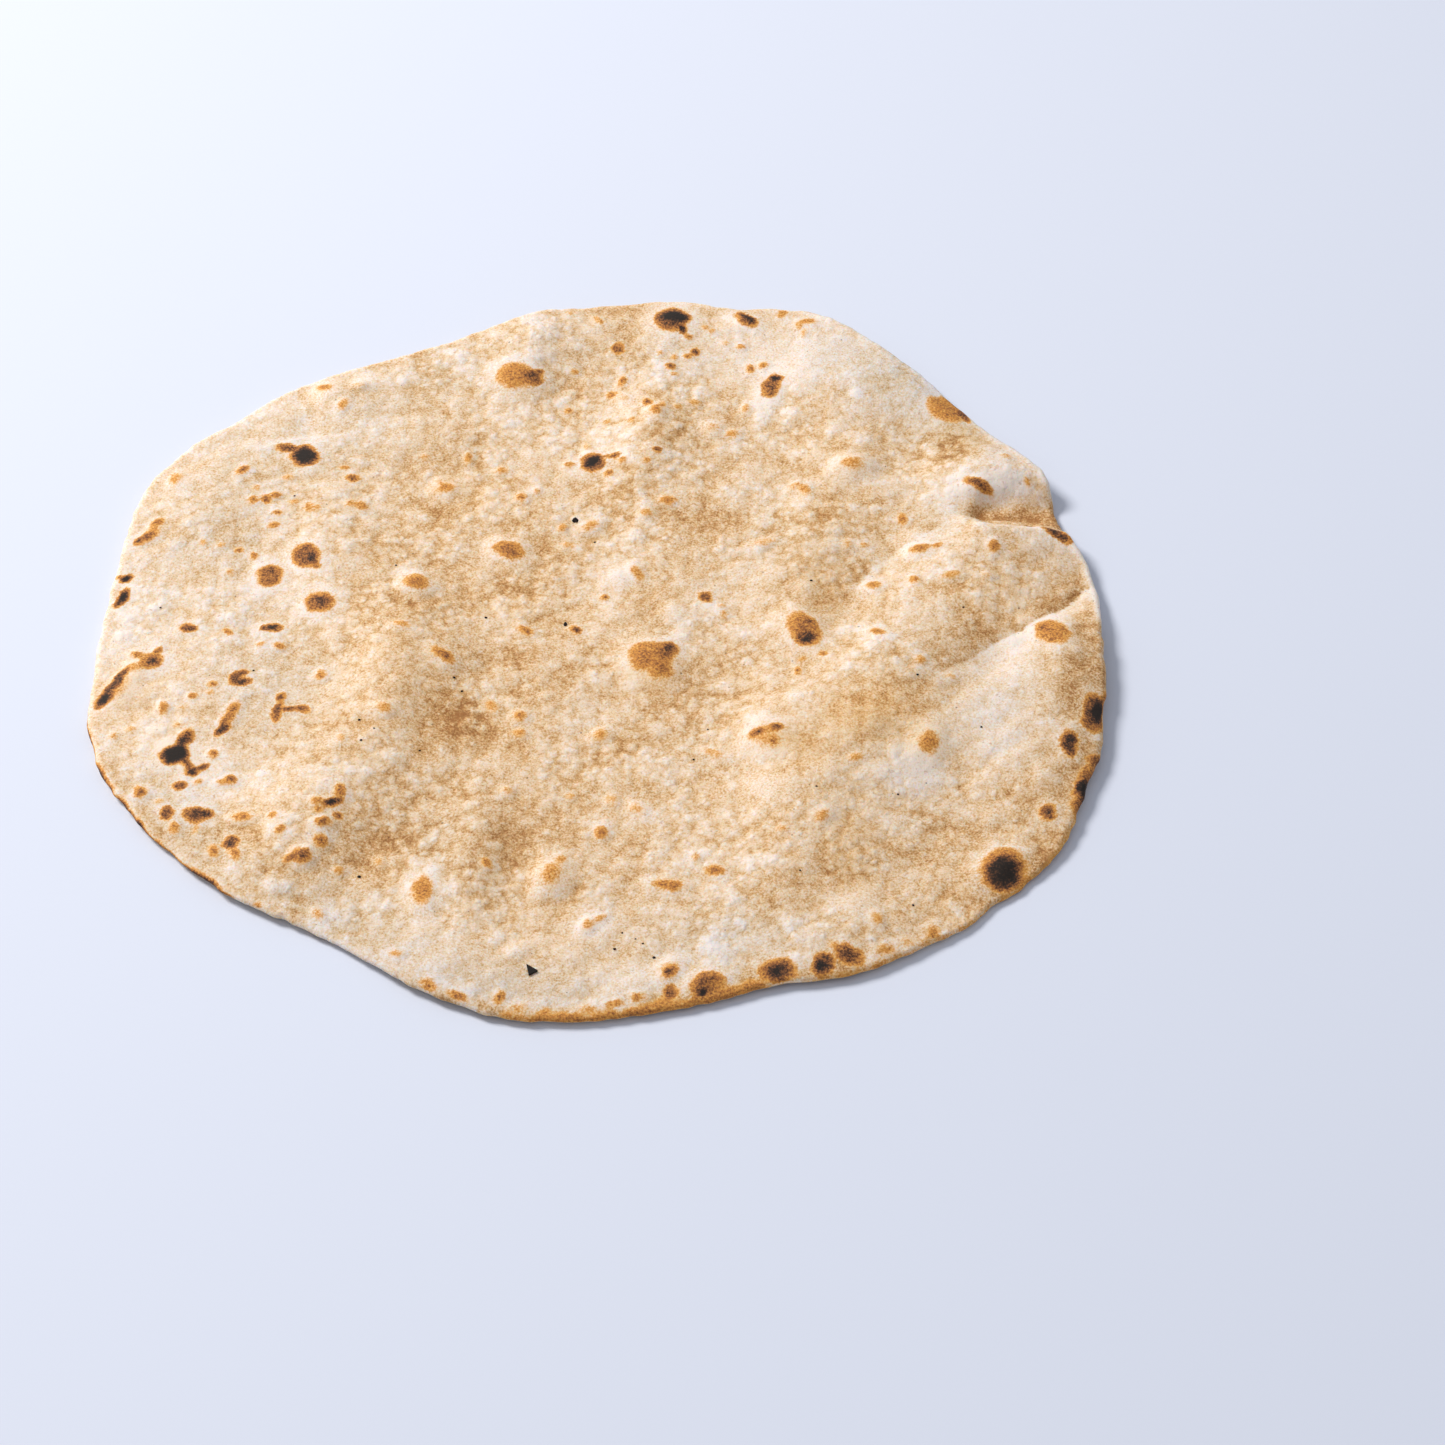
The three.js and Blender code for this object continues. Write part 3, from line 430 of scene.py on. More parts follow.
        (73, 43, 5, 5, 0, -0.24), (82, 48, 9, 3, 0, -0.24), (75, 36, 4, 6, 0, -0.3),
        (52, 84, 6, 5, 0, 0.12), (77, 64, 6, 4, -55, 0.04), (53.7, 75.6, 1.4, 1.2, 0, -0.8),
        (46, 26, 12, 4, 85, -0.14), (52, 43, 3, 3, 0, -0.14), (95, 26, 6, 4, -60, -0.14),
        (93, 26, 5, 3, -60, -0.16), (85, 46, 8, 2.5, 10, -0.14),
        # right
        (15, 8, 5, 6, 0, 0.12), (45, 5, 3, 6, 0, 0.1), (28, -18, 8, 4, 70, 0.1),
        (102, -24, 14, 4, 85, 0.26), (95, -5, 7, 5, 70, 0.1), (86, -32, 9, 7, 90, -0.2),
        (28, 4, 10, 8, 0, -0.12), (46, 20, 12, 6, 80, 0.14), (52, 22, 14, 4, 68, 0.06),
        (74, 14, 8, 6, 0, 0.12), (80, 6, 12, 5, 80, 0.14), (66, 5, 10, 6, 30, -0.14),
        (99, 3, 8, 6, 90, 0.24), (97, 9, 3.5, 3.5, 0, -0.14), (103.4, 10, 6, 1.6, 80, 0.26),
        (100, -14, 20, 7, 88, 0.14), (83, -19, 20, 11, 65, -0.28), (88, -8, 8, 6, 45, -0.18),
        (78, -23, 7, 5, 30, -0.14), (60, -15, 11, 6, 40, 0.06), (52, -26, 9, 4, 30, 0.06),
        # middle
        (15, -16, 8, 6, -20, 0.22), (6, -29, 8, 7, 0, 0.2), (13, -8, 6, 6, 0, 0.1), (2, 17, 9, 5, 70, -0.2),
        (0, 6, 10, 6, 30, -0.1), (5, -20, 7, 5, 0, -0.14), (42, -21, 8, 9, 20, -0.12),
        (50, -34, 5, 6, 0, -0.12), (30, -39, 6, 6, 0, -0.14), (28, 19, 5, 5, 0, -0.16),
        # bottom
        (-18, -30, 8, 4, 70, 0.12), (-47, -67, 6, 5, 0, 0.1), (-36, -65, 4, 4, 0, 0.1),
        (-36, -65, 3, 4, 0, 0.12), (-47, -84, 8, 4, -35, 0.08), (-45, -85, 6, 4, -30, 0.1),
        (-55, -68, 7, 4, 20, 0.12), (20, -52, 5, 6, 0, -0.16), (0, -65, 4, 4, 0, -0.1),
        (-8, -102, 9, 3, 0, -0.2), (-4, -25, 5, 5, 0, -0.14), (-29, -35, 6, 5, 0, -0.1),
        (-64, -70, 8, 4, -40, 0.1), (-13, -56, 10, 8, 20, 0.12), (-27, -46, 12, 9, 40, 0.1),
        (-20, -66, 10, 8, 80, 0.18), (-40, -56, 12, 8, 70, 0.2), (-40, -74, 10, 8, 60, 0.04),
        (-55, -29, 10, 8, 0, 0.2), (-71, -61, 12, 6, -20, 0.22), (-78, -46, 14, 7, 20, -0.22),
        (-40, -92, 16, 8, -25, -0.26), (-24, -87, 16, 7, 0, -0.14), (-5, -94, 22, 8, 0, -0.14),
        (-12, -99, 7, 4, 0, -0.12), (16, -88, 12, 8, 0, -0.16), (32, -88, 10, 5, 20, -0.12),
        (10, -76, 7, 5, 0, -0.12), (-6, -38, 12, 6, 0, 0.12), (-20, -39, 7, 5, 0, -0.14),
        (-5, -70, 6, 5, 0, 0.2), (37.4, -93, 5.5, 4.5, 0, 0.24), (49, -90, 6.5, 3.4, 17, 0.28),
        (23.5, -96, 5, 4, 20, 0.16), (0, -60, 5, 5, 0, -0.08),
        # lower right
        (38, -32, 6, 3, 0, 0.1), (60, -78, 8, 4, 0, 0.12), (82, -67, 7, 4, 45, 0.14),
        (43, -62, 4, 5, 0, -0.12), (61, -65, 6, 7, 0, -0.24), (80, -70, 8, 5, 40, 0.08),
        (50, -50, 7, 7, 0, -0.12), (73, -36, 5, 4, 0, 0.12), (88, -64, 14, 5, 52, 0.24),
        (68, -62, 22, 18, 30, 0.12), (64, -56, 14, 8, 40, 0.08), (36, -72, 6, 8, 0, 0.06),
        (67, -22, 8, 5, 60, 0.12), (86, 45, 8, 4, 0, -0.34), (40, 28, 4, 6, 0, -0.1),
        (91, -66, 8, 4, 55, 0.14), (64, -64, 5, 5, 0, -0.1), (50, -77, 5, 4, 0, -0.14),
    ],
    "floury": [  # the same columns: where the dough is made greyer and cooler, partly by dry flour dusting it and partly as painted shade on stretches that fall away from the light, such as the upper right
        (-70, -20, 22, 14, 90, 0.45), (-84, 28, 28, 14, 78, 0.4), (-60, 62, 30, 14, 35, 0.42),
        (-30, 84, 18, 10, 15, 0.25), (-44, -86, 22, 9, -28, 0.6), (-30, -62, 14, 8, 80, 0.4),
        (-84, -56, 22, 8, -50, 0.5), (-10, -98, 22, 7, 0, 0.5), (28, -84, 20, 8, 8, 0.5),
        (62, 80, 24, 10, -42, 0.9), (76, 60, 9, 8, -45, 0.4), (12, 88, 20, 9, 0, 0.3),
        (87, -18, 16, 9, 70, 0.4), (72, 36, 5, 5, 0, 0.5), (37, 28, 5, 12, 0, 0.35),
    ],
    "steamed": [  # the same columns: where the dough is tinted yellower; in the shaded hollows and folds this is painted warm bounce light
        (55, -25, 13, 8, 35, 0.8), (68, -31, 7, 6, 0, 0.6), (38, -33, 6, 4, -10, 0.8),
        (50, -52, 8, 14, 0, 0.4), (46, 16, 5, 20, 0, 0.5), (10, -12, 6, 5, 0, 0.7),
        (76, 66, 9, 7, -45, 0.6), (-38, -18, 6, 18, 0, 0.3), (86, 14, 12, 8, 40, 0.3),
        (-7, -70, 4, 4, 0, 0.4), (-100, -18, 5, 8, 0, 0.6), (-88, -36, 5, 7, 30, 0.4),
        (54, 52, 5, 4, 0, 0.3), (-30, 42, 9, 6, -20, 0.25), (-20, 8, 5, 6, 0, 0.3),
        (52, -66, 6, 10, 0, 0.3),
    ],
    # path, rise, reach on the left and on the right, tone on the left and on the right (partly browning,
    # partly painted shade on the side away from the light and painted light on the lit side), its reach, fade
    "creases": [
        # sharp bottom of the lower fold
        ([(106, 19.4), (102.3, 16.4), (98.3, 11.4), (94, 7.8), (88.3, 3.1), (82.8, -0.3), (76, -7),
          (66, -14.5)], -0.8, 1.9, 1.9, -0.4, 0.2, 4.5, 30),
        # a short wrinkle between the folds, and the foot of the long ridge
        ([(78.2, 6), (78.6, 3.6), (80.2, 2)], -0.35, 0.9, 1.6, 0.16, 0, 1.4, 1.5),
        ([(70, 33), (62, 27), (57, 22), (53, 15), (52, 10)], -0.3, 2, 1.6, -0.16, 0.12, 4, 8),
        # crest of the upper fold, and the rounded crest behind it
        ([(99, 34.2), (94, 33.8), (83, 33.2), (79, 32.4)], 0.1, 2, 1, -0.2, 0.3, 2.5, 8),
        ([(97, 47), (88, 50.5), (79, 50), (72, 47)], 0.3, 2, 3, 0.06, -0.18, 4, 8),
        # side of a blister on the left, its foot, and the wrinkle beyond it
        ([(-71, 75), (-66, 61)], 0.2, 1.2, 3, 0.1, -0.2, 3, 3),
        ([(-77.7, 54.5), (-73, 57.2), (-67, 58.9), (-60.6, 58.8), (-50, 59.2)],
         0.3, 1.2, 1.2, -0.16, -0.1, 1.4, 9),
        ([(-47, 78), (-44, 75), (-39, 69), (-35.3, 65.5)], -0.2, 1.5, 1.5, 0.1, 0, 1.5, 4),
        ([(71.4, -45.7), (77, -40)], -0.25, 0.8, 0.8, 0.15, 0, 1, 2),  # at the lower right
    ],
    "rimHighlightsAndCrust": [  # from, to in degrees, width, browning, height of the lip: pale strips round the right, the top and the left are painted highlight where the rounded edge catches the light, partly paler flour; along the bottom the crust is browner and its thin side paler
        (2, 20, 1.3, -0.9, 0.55), (24, 54, 1.2, -0.8, 0.5), (-62, -40, 0.8, -0.2, 0.1),
        (54, 75, 0.9, -0.4, 0.3), (75, 255, 0.9, -0.2, 0), (246, 262, 1.6, 0.28, 0),
        (257, 284, 1.8, 0.4, 0), (274, 302, 3.6, 0.4, 0), (255, 300, 0.5, -0.6, 0),
    ],
}


# Soft patches added up, each a bell along its own direction times a bell across it
def softPatches(x, y, patches):
    return sumOf(
        waveHeight(x, y, (patchX, patchY, turn, along, across, strength))
        for patchX, patchY, along, across, turn, strength in patches
    )


# The distance inside a mark's ellipse, with an uneven outline, turned into how far it is burnt: nothing
# outside, rising softly to the middle in a golden mark, and as one less an exponential in a darker one. Also
# how much of its pale ring shows, partly the blister's paler skin and partly painted highlight on its lit
# flank, and how far the bubble under it swells.
def bakeMarks(x, y):
    (wander, bends), (fray, threads) = baking["markWander"], baking["markFray"]
    offsetX = wander * softNoise(x, y, bends, 11) + fray * softNoise(x, y, threads, 13)
    offsetY = wander * softNoise(x, y, bends, 12) + fray * softNoise(x, y, threads, 14)
    burnt, ring, swell = np.zeros_like(x), np.zeros_like(x), np.zeros_like(x)
    for markX, markY, length, width, turn, burn in baking["marks"]:
        cosTurn, sinTurn = math.cos(math.radians(turn)), math.sin(math.radians(turn))
        scale = min(1, width / 3)  # the outline of a small mark is plainer
        awayX, awayY = x + scale * offsetX - markX, y + scale * offsetY - markY
        alongMark = (awayX * cosTurn + awayY * sinTurn) / (length / 2)
        acrossMark = (awayY * cosTurn - awayX * sinTurn) / (width / 2)
        reach = np.hypot(alongMark, acrossMark)
        inside = (1 - reach) * math.sqrt(length * width) / 2  # about mm in from the outline
        if burn < 0.5:
            baked = softStep(inside, -0.9, 0.4 * width)
        else:
            soft = 0.5 + (0.9 if burn < 0.6 else 0.55) * burn * min(1, width / 4)
            baked = 1 - np.exp(-np.maximum(inside + 0.65, 0) / soft)
        small = 0.4 < burn < 0.62 and width < 5  # these are darker in their middle
        middle = 1 + 0.22 * softStep(inside, 0.15 * width, 0.5 * width) * small
        strength = (1.27 - 0.27 * scale) * (0.84 + 0.17 * softStep(burn, 0.42, 0.66)) * burn
        burnt = np.maximum(burnt, strength * baked * middle)
        size = min(1, 0.1 + width / 5.5)  # a wide mark has a wide ring and a plump bubble
        ring = np.maximum(ring, size * bell(np.maximum(-inside, 0), 0.9 + 1.9 * size))
        plump = 1.2 * size * (1 if burn < 0.62 else 0.5)
        swell = np.maximum(swell, plump * np.maximum(1 - (reach / 2.2) ** 2, 0) ** 1.5)
    return burnt, ring, swell


# How far each point is from the nearest leg of a path, whether it lies to the left of that leg, and how much
# of the path is still to come from there
def besidePath(x, y, path):
    nearest, onLeft, toEnd = np.full_like(x, 1e9), np.zeros(x.shape, bool), np.zeros_like(x)
    left = sumOf(math.dist(start, end) for start, end in zip(path, path[1:]))
    for (startX, startY), (endX, endY) in zip(path, path[1:]):
        legX, legY = endX - startX, endY - startY
        along = np.clip(((x - startX) * legX + (y - startY) * legY) / (legX ** 2 + legY ** 2), 0, 1)
        awayX, awayY = x - startX - along * legX, y - startY - along * legY
        away = np.hypot(awayX, awayY)
        onLeft = np.where(away < nearest, legX * awayY - legY * awayX > 0, onLeft)
        toEnd = np.where(away < nearest, left - along * math.hypot(legX, legY), toEnd)
        nearest = np.minimum(nearest, away)
        left -= math.hypot(legX, legY)
    return nearest, onLeft, toEnd


# Sharp creases fall away on both sides as the exponential of minus the distance, brown or pale the dough
# beside them, partly as browning and partly as painted shade on the side away from the light and painted
# light on the lit side, and die out towards the end of their path
def bakeCreases(x, y):
    height, creaseTone = np.zeros_like(x), np.zeros_like(x)
    for path, rise, left, right, leftTone, rightTone, toneReach, fade in baking["creases"]:
        away, onLeft, toEnd = besidePath(x, y, path)
        strength = softStep(toEnd, -1, fade)
        height = height + strength * rise * np.exp(-away / np.where(onLeft, left, right))
        beside = np.where(onLeft, leftTone, rightTone)
        creaseTone = creaseTone + strength * beside * bell(away, toneReach)
    return height, creaseTone


# Along part of the rim the crust is burnt for an uneven distance in from the edge; the thin dark line along
# the lower left is partly burnt underside and partly painted contact shadow
def bakeEdges(angle, fromRim, x, y):
    burnt = np.zeros_like(x)
    uneven = 1 + 0.35 * softNoise(x, y, 4, 21) + 0.3 * softNoise(x, y, 1.6, 22)
    for start, end, inward, burn in baking["edges"]:
        within = softStep(angle, start - 1.2, start + 1.2) * (1 - softStep(angle, end - 1.2, end + 1.2))
        depth = inward * uneven * within - fromRim
        patchy = burn * (1 + 0.3 * softNoise(x, y, 3, 23))
        burnt = np.maximum(burnt, patchy * (1 - np.exp(-np.maximum(depth, 0) / (0.2 + 0.3 * inward))))
    return burnt


# The finer relief of the upper skin: soft bubbles in three sizes, single larger ones, and long faint
# wrinkles. Also how much of a bubble stands at each point, and how well the small bubbles show.
def skinRelief(x, y, ring):
    pebbly = np.clip(1 - softPatches(x, y, baking["smooth"]), 0.15, 1)
    uneven = 0.62 + 0.38 * softStep(softNoise(x, y, 9, 46), -0.5, 0.5)  # some stretches are smoother
    bubble, relief = 0, 0
    for cell, seed, rise, paleness in baking["bubbles"]:
        field = bubbleField(x, y, cell, seed)
        bubble, relief = bubble + paleness * field, relief + rise * field
    dome = sumOf(
        rise * np.maximum(1 - ((x - dx) ** 2 + (y - dy) ** 2) / (1.35 * reach) ** 2, 0) ** 1.5
        for dx, dy, reach, rise in baking["domes"]
    )
    uneven = uneven * (1 - 0.6 * np.minimum(1, dome / 0.3))
    bubble = bubble * uneven * pebbly + 1.1 * dome
    relief = relief * uneven * (0.3 + 0.7 * pebbly) + 1.3 * dome
    turn = math.radians(bread["wrinkleTurn"])
    alongWrinkle = x * math.cos(turn) + y * math.sin(turn)
    acrossWrinkle = y * math.cos(turn) - x * math.sin(turn)
    wrinkle = softNoise(alongWrinkle / 2.6, acrossWrinkle, 3.4, 47) * (1.3 - pebbly)
    relief = relief + 0.04 * softNoise(x, y, 1.7, 43) + 0.12 * softNoise(x, y, 12, 44) + 0.28 * wrinkle
    return relief * (1 - 0.5 * ring), bubble, pebbly * uneven * (1 - 0.8 * ring)


# the grid: rings of squares laid on the round outline

# A square grid from -1 to 1. How far a point is from the middle, by squares, becomes its ring, and its place
# along the side of its square becomes the angle, so each square ring turns into a round one.
def roundGrid(cells):
    step = np.linspace(-1, 1, cells + 1)
    u, v = np.meshgrid(step, step)
    ring = np.maximum(abs(u), abs(v))
    sideways = abs(u) >= abs(v)
    longer, shorter = np.where(sideways, u, v), np.where(sideways, v, u)
    share = 45 * shorter / np.where(longer == 0, 1, longer)
    angle = np.where(sideways, share, 90 - share) + np.where(longer < 0, 180, 0)
    return ring.ravel(), angle.ravel() % 360


# Numbers of the points on the border of such a grid, going round against the clock from its lowest corner
def borderOf(cells):
    numbers = np.arange((cells + 1) ** 2).reshape(cells + 1, cells + 1)
    return np.concatenate([numbers[0, :-1], numbers[:-1, -1], numbers[-1, :0:-1], numbers[:0:-1, 0]])


# Four-cornered faces of such a grid, each against the clock seen from above
def gridFaces(cells):
    numbers = np.arange((cells + 1) ** 2).reshape(cells + 1, cells + 1)
    corners = numbers[:-1, :-1], numbers[:-1, 1:], numbers[1:, 1:], numbers[1:, :-1]
    return np.stack([corner.ravel() for corner in corners], 1)


topRing, topAngle = roundGrid(bread["topCells"])
underRing, underAngle = roundGrid(bread["underCells"])
topBorder, underBorder = borderOf(bread["topCells"]), borderOf(bread["underCells"])
rimAngle = topAngle[topBorder]
rimBends = [45, 90, 135]  # of the rounded edge, from straight up

# every point as: angle round the bread, share of the way out, and bend over the rounded edge
angle = np.concatenate([topAngle] + [rimAngle] * len(rimBends) + [underAngle])
share = np.concatenate([topRing] + [np.ones_like(rimAngle)] * len(rimBends) + [underRing])
rimPoints = np.repeat(rimBends, len(rimAngle))
bend = np.concatenate([np.zeros_like(topAngle), rimPoints, np.full_like(underAngle, 180)])
onTop = (1 + np.cos(np.radians(bend))) / 2

outline = edgeRadius(angle) + swellsOut(angle, bread["fineSwells"])
outlineX, outlineY = outline * np.cos(np.radians(angle)), outline * np.sin(np.radians(angle))
nicks = sumOf(far * softNoise(outlineX, outlineY, size, seed) for far, size, seed in bread["rimNicks"])
edge = outline + nicks * share ** 6
atRim = share > 0.9999
radius = (edge - bread["rimRound"]) * share + bread["rimRound"] * np.sin(np.radians(bend)) * atRim
x, y = radius * np.cos(np.radians(angle)), radius * np.sin(np.radians(angle))
fromRim = np.maximum(edge - radius, 0)

under = undersideHeight(x, y)
depth = sheetDepth(x, y, fromRim)
z = under + depth * onTop

burnt, ring, swell = bakeMarks(x, y)
creaseHeight, creaseTone = bakeCreases(x, y)
relief, bubble, pebbly = skinRelief(x, y, ring)
inland = softStep(fromRim, *bread["bareRim"])
crowded = 1 - 0.75 * softStep(z, *bread["stretched"])
z = z + ((relief + swell) * crowded + creaseHeight - bread["skinSink"]) * inland * onTop
print("shape worked out:", len(x), "points")

burnt = (burnt + 0.25 * softStep(burnt, 0.75, 1)) * softStep(onTop, 0.4, 0.9)
burnt = np.maximum(burnt, bakeEdges(angle, fromRim, x, y) * softStep(onTop, 0.1, 0.4))
# this browning also carries painted shade in valleys, pockets and beside creases, and painted light on lit
# slopes and along the rounded edge of the rim
toast = creaseTone + softPatches(x, y, baking["browningAndShade"])
floury, steamed = softPatches(x, y, baking["floury"]), softPatches(x, y, baking["steamed"])
for start, end, width, strength, lip in baking["rimHighlightsAndCrust"]:
    turned = (angle - start) % 360
    within = softStep(turned, 0, 3) * (1 - softStep(turned, end - start - 3, end - start))
    toast = toast + strength * within * bell(fromRim, width)
    z = z + lip * within * bell(fromRim - 0.4, 0.9) * onTop

# the underside rests on the table and has marks of its own, drawn at random
underBurnt = np.zeros_like(x)
underDraw = np.random.default_rng(51).uniform(0, 1, (baking["underMarks"], 4))
for markAngle, markOut, markSize, burn in underDraw:
    out, turn = baking["underMarksReach"] * math.sqrt(markOut), math.tau * markAngle
    markX, markY = out * math.cos(turn), out * math.sin(turn)
    smallest, more = baking["underMarkSizes"]
    size = smallest + more * markSize ** 2
    inside = 1 - np.hypot(x - markX, y - markY) / size - 0.25 * softNoise(x, y, 4, 52)
    underBurnt = np.maximum(underBurnt, (0.35 + 0.5 * burn) * softStep(inside, 0, 0.7))
burnt = burnt + underBurnt * (onTop < 0.1)
ring = ring * onTop

# the middle of the plain outline goes to the middle of the node
cadLow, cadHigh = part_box("chapati")
plainTurn = np.radians(np.linspace(0, 360, 3601))
plainX = edgeRadius(np.degrees(plainTurn)) * np.cos(plainTurn)
plainY = edgeRadius(np.degrees(plainTurn)) * np.sin(plainTurn)
shift = np.array([
    (cadLow.x + cadHigh.x) / 2 / mm - (plainX.min() + plainX.max()) / 2,
    (cadLow.y + cadHigh.y) / 2 / mm - (plainY.min() + plainY.max()) / 2,
    0,
])
points = (np.stack([x, y, np.maximum(z, 0)], 1) + shift) * mm

# faces: the upper grid, three bands down the rounded edge, a band that takes three points to one, and the
# lower grid
topCount, rimCount = len(topRing), len(rimAngle)
underFirst = topCount + rimCount * len(rimBends)
loops = [topBorder] + [topCount + rimCount * k + np.arange(rimCount) for k in range(len(rimBends))]
faces = gridFaces(bread["topCells"]).tolist()
for upper, lower in zip(loops, loops[1:]):
    faces += np.stack([upper, lower, np.roll(lower, -1), np.roll(upper, -1)], 1).tolist()
lastLoop = loops[-1].reshape(-1, 3)
nextLast = np.roll(loops[-1], -3).reshape(-1, 3)
inner = underBorder + underFirst
nextInner = np.roll(inner, -1)
faces += np.stack([lastLoop[:, 0], inner, lastLoop[:, 1]], 1).tolist()
faces += np.stack([lastLoop[:, 1], inner, nextInner, lastLoop[:, 2]], 1).tolist()
faces += np.stack([lastLoop[:, 2], nextInner, nextLast[:, 0]], 1).tolist()
faces += (gridFaces(bread["underCells"])[:, ::-1] + underFirst).tolist()

breadMesh = bpy.data.meshes.new("chapatiBread")
breadMesh.from_pydata(points.tolist(), [], faces)
attributes = {
    "burnt": burnt, "paleRing": ring, "toast": toast, "bubble": bubble * onTop, "pebbly": pebbly,
    "floury": floury, "steamed": steamed,
}
for name, values in attributes.items():
    layer = breadMesh.attributes.new(name, "FLOAT", "POINT")
    layer.data.foreach_set("value", values.astype(np.float32))
breadMesh.polygons.foreach_set("use_smooth", np.ones(len(breadMesh.polygons), bool))
breadMesh.update()
chapatiBread = bpy.data.objects.new("chapatiBread", breadMesh)
bpy.context.scene.collection.objects.link(chapatiBread)
print("bread mesh:", len(faces), "faces")


# crumbs of burnt flour off the hot plate, pressed into the upper skin

crumbs = {
    "specks": [  # x, y, length, width
        (-7.5, 35.3, 1.5, 1.4), (-8.4, 3.5, 0.8, 1.2), (-25.3, 4.4, 0.7, 0.6), (-31, -14.3, 0.7, 0.6),
        (-29.2, -17.6, 0.6, 0.5), (5, -87.4, 0.7, 0.6), (12.9, -89.6, 0.7, 0.6), (-47.1, -69.8, 0.8, 0.7),
        (66.1, -13.4, 0.7, 0.5), (79.3, -26.3, 0.5, 0.5), (43.8, 16.2, 0.6, 0.5), (76.2, 8.1, 0.5, 0.4),
        (22.5, -26.4, 0.5, 0.4), (19.7, -35.1, 0.5, 0.5), (-3, 29, 0.5, 0.4), (-49.8, -29.1, 0.6, 0.5),
        (-46.5, -31.8, 0.5, 0.4), (-49, -35.1, 0.6, 0.5), (-36.9, -35.9, 0.5, 0.4), (-73.3, -12.5, 0.5, 0.5),
        (-94.7, 5.8, 0.5, 0.4), (-45.3, 18.7, 0.5, 0.4), (41.8, -67.3, 0.5, 0.4), (64.6, -74.3, 0.5, 0.5),
        (45, -45.5, 0.5, 0.4), (61.8, -45.3, 0.5, 0.4), (-68.7, 39.3, 0.5, 0.4), (6.4, -83.2, 0.4, 0.4),
        (9.1, -84.8, 0.4, 0.3), (10.6, -86.1, 0.5, 0.4),
    ],
    "lowness": 0.7,  # height over width
    "perch": 0.1,  # how far the middle of a crumb is over the skin, as a share of its width
    "flake": [(-12.3, -92.6), (-11.7, -95.4), (-10.0, -94.2)],  # the one flat crumb, its corners
    "flakeDepths": (-0.4, 0.5),  # its underside and its top, from the skin
}


# Height of the upper skin at the point of the grid nearest to a place
def skinHeight(placeX, placeY):
    away = (x[:topCount] - placeX) ** 2 + (y[:topCount] - placeY) ** 2
    return z[:topCount][np.argmin(away)]


# Each crumb is a ball of 42 points, pushed in and out at random and squeezed to its length and width
ballMesh = bmesh.new()
bmesh.ops.create_icosphere(ballMesh, subdivisions=2, radius=0.5)
ballPoints = np.array([point.co for point in ballMesh.verts])
ballFaces = np.array([[point.index for point in face.verts] for face in ballMesh.faces])
ballMesh.free()
crumbDraw = np.random.default_rng(61)
crumbPoints, crumbFaces = [], []
for k, (crumbX, crumbY, length, width) in enumerate(crumbs["specks"]):
    rough = ballPoints * crumbDraw.uniform(0.75, 1.15, (len(ballPoints), 1))
    middle = crumbX, crumbY, skinHeight(crumbX, crumbY) + crumbs["perch"] * width
    crumbPoints.append(rough * (length, width, crumbs["lowness"] * width) + middle)
    crumbFaces += (ballFaces + k * len(ballPoints)).tolist()
first = sum(len(part) for part in crumbPoints)
flakeHeight = skinHeight(*np.mean(crumbs["flake"], 0))
for flakeDepth in crumbs["flakeDepths"]:
    crumbPoints.append([(*corner, flakeHeight + flakeDepth) for corner in crumbs["flake"]])
flakeFaces = [(2, 1, 0), (3, 4, 5), (0, 1, 4, 3), (1, 2, 5, 4), (2, 0, 3, 5)]
crumbFaces += [[first + corner for corner in face] for face in flakeFaces]

crumbMesh = bpy.data.meshes.new("charredCrumbs")
crumbMesh.from_pydata(((np.concatenate(crumbPoints) + shift) * mm).tolist(), [], crumbFaces)
crumbMesh.update()
charredCrumbs = bpy.data.objects.new("charredCrumbs", crumbMesh)
bpy.context.scene.collection.objects.link(charredCrumbs)
print("crumbs:", len(crumbs["specks"]) + 1)


# materials

# An sRGB hex value as linear colour
def hexColor(code):
    parts = [int(code[k : k + 2], 16) / 255 for k in (1, 3, 5)]
    return [part / 12.92 if part <= 0.04045 else ((part + 0.055) / 1.055) ** 2.4 for part in parts] + [1]


# Adds a node with its settings and links, and gives back its outputs. A setting is a property, an input, or
# the stops of a colour ramp.
def addNode(kind, settings=None, links=None):
    node = tree.nodes.new("ShaderNode" + kind)
    for name, value in (settings or {}).items():
        if name == "stops":
            ramp = node.color_ramp
            while len(ramp.elements) < len(value):
                ramp.elements.new(1)
            for stop, (place, code) in zip(ramp.elements, value):
                stop.position, stop.color = place, hexColor(code)
        elif isinstance(name, str) and hasattr(node, name):
            setattr(node, name, value)
        else:
            node.inputs[name].default_value = value
    for name, source in (links or {}).items():
        tree.links.new(source, node.inputs[name])
    return node.outputs


# Whole-wheat dough baked dry on an iron plate: matt and floury, cream with a golden mottling between soft
# bubbles, and toasted to orange, brown and black where the bubbles touched the plate
dough = {
    "pebbleSizes": [2.6, 1.5],  # mm from one tiny bubble to the next
    "mottleGrain": 3.2,
    "patchGrain": 17,
    "flourGrain": 0.48,
    "clumpGrain": 1.8,
    "branGrain": 0.9,
    "wanderGrain": 1.6,  # the small bubbles are pushed out of round by this wander
    "wanderReach": 1.2,
    "speckSpacing": 3.4,
    "bumpDepth": 0.13,
    "softDepth": 1.8,  # how far light gets into the crumb
    "roughness": 0.82,
}
bakedDough = bpy.data.materials.new("bakedWholeWheatDough")
bakedDough.use_nodes = True
tree = bakedDough.node_tree
tree.nodes.clear()
place = addNode("TexCoord")["Object"]
noises = {}
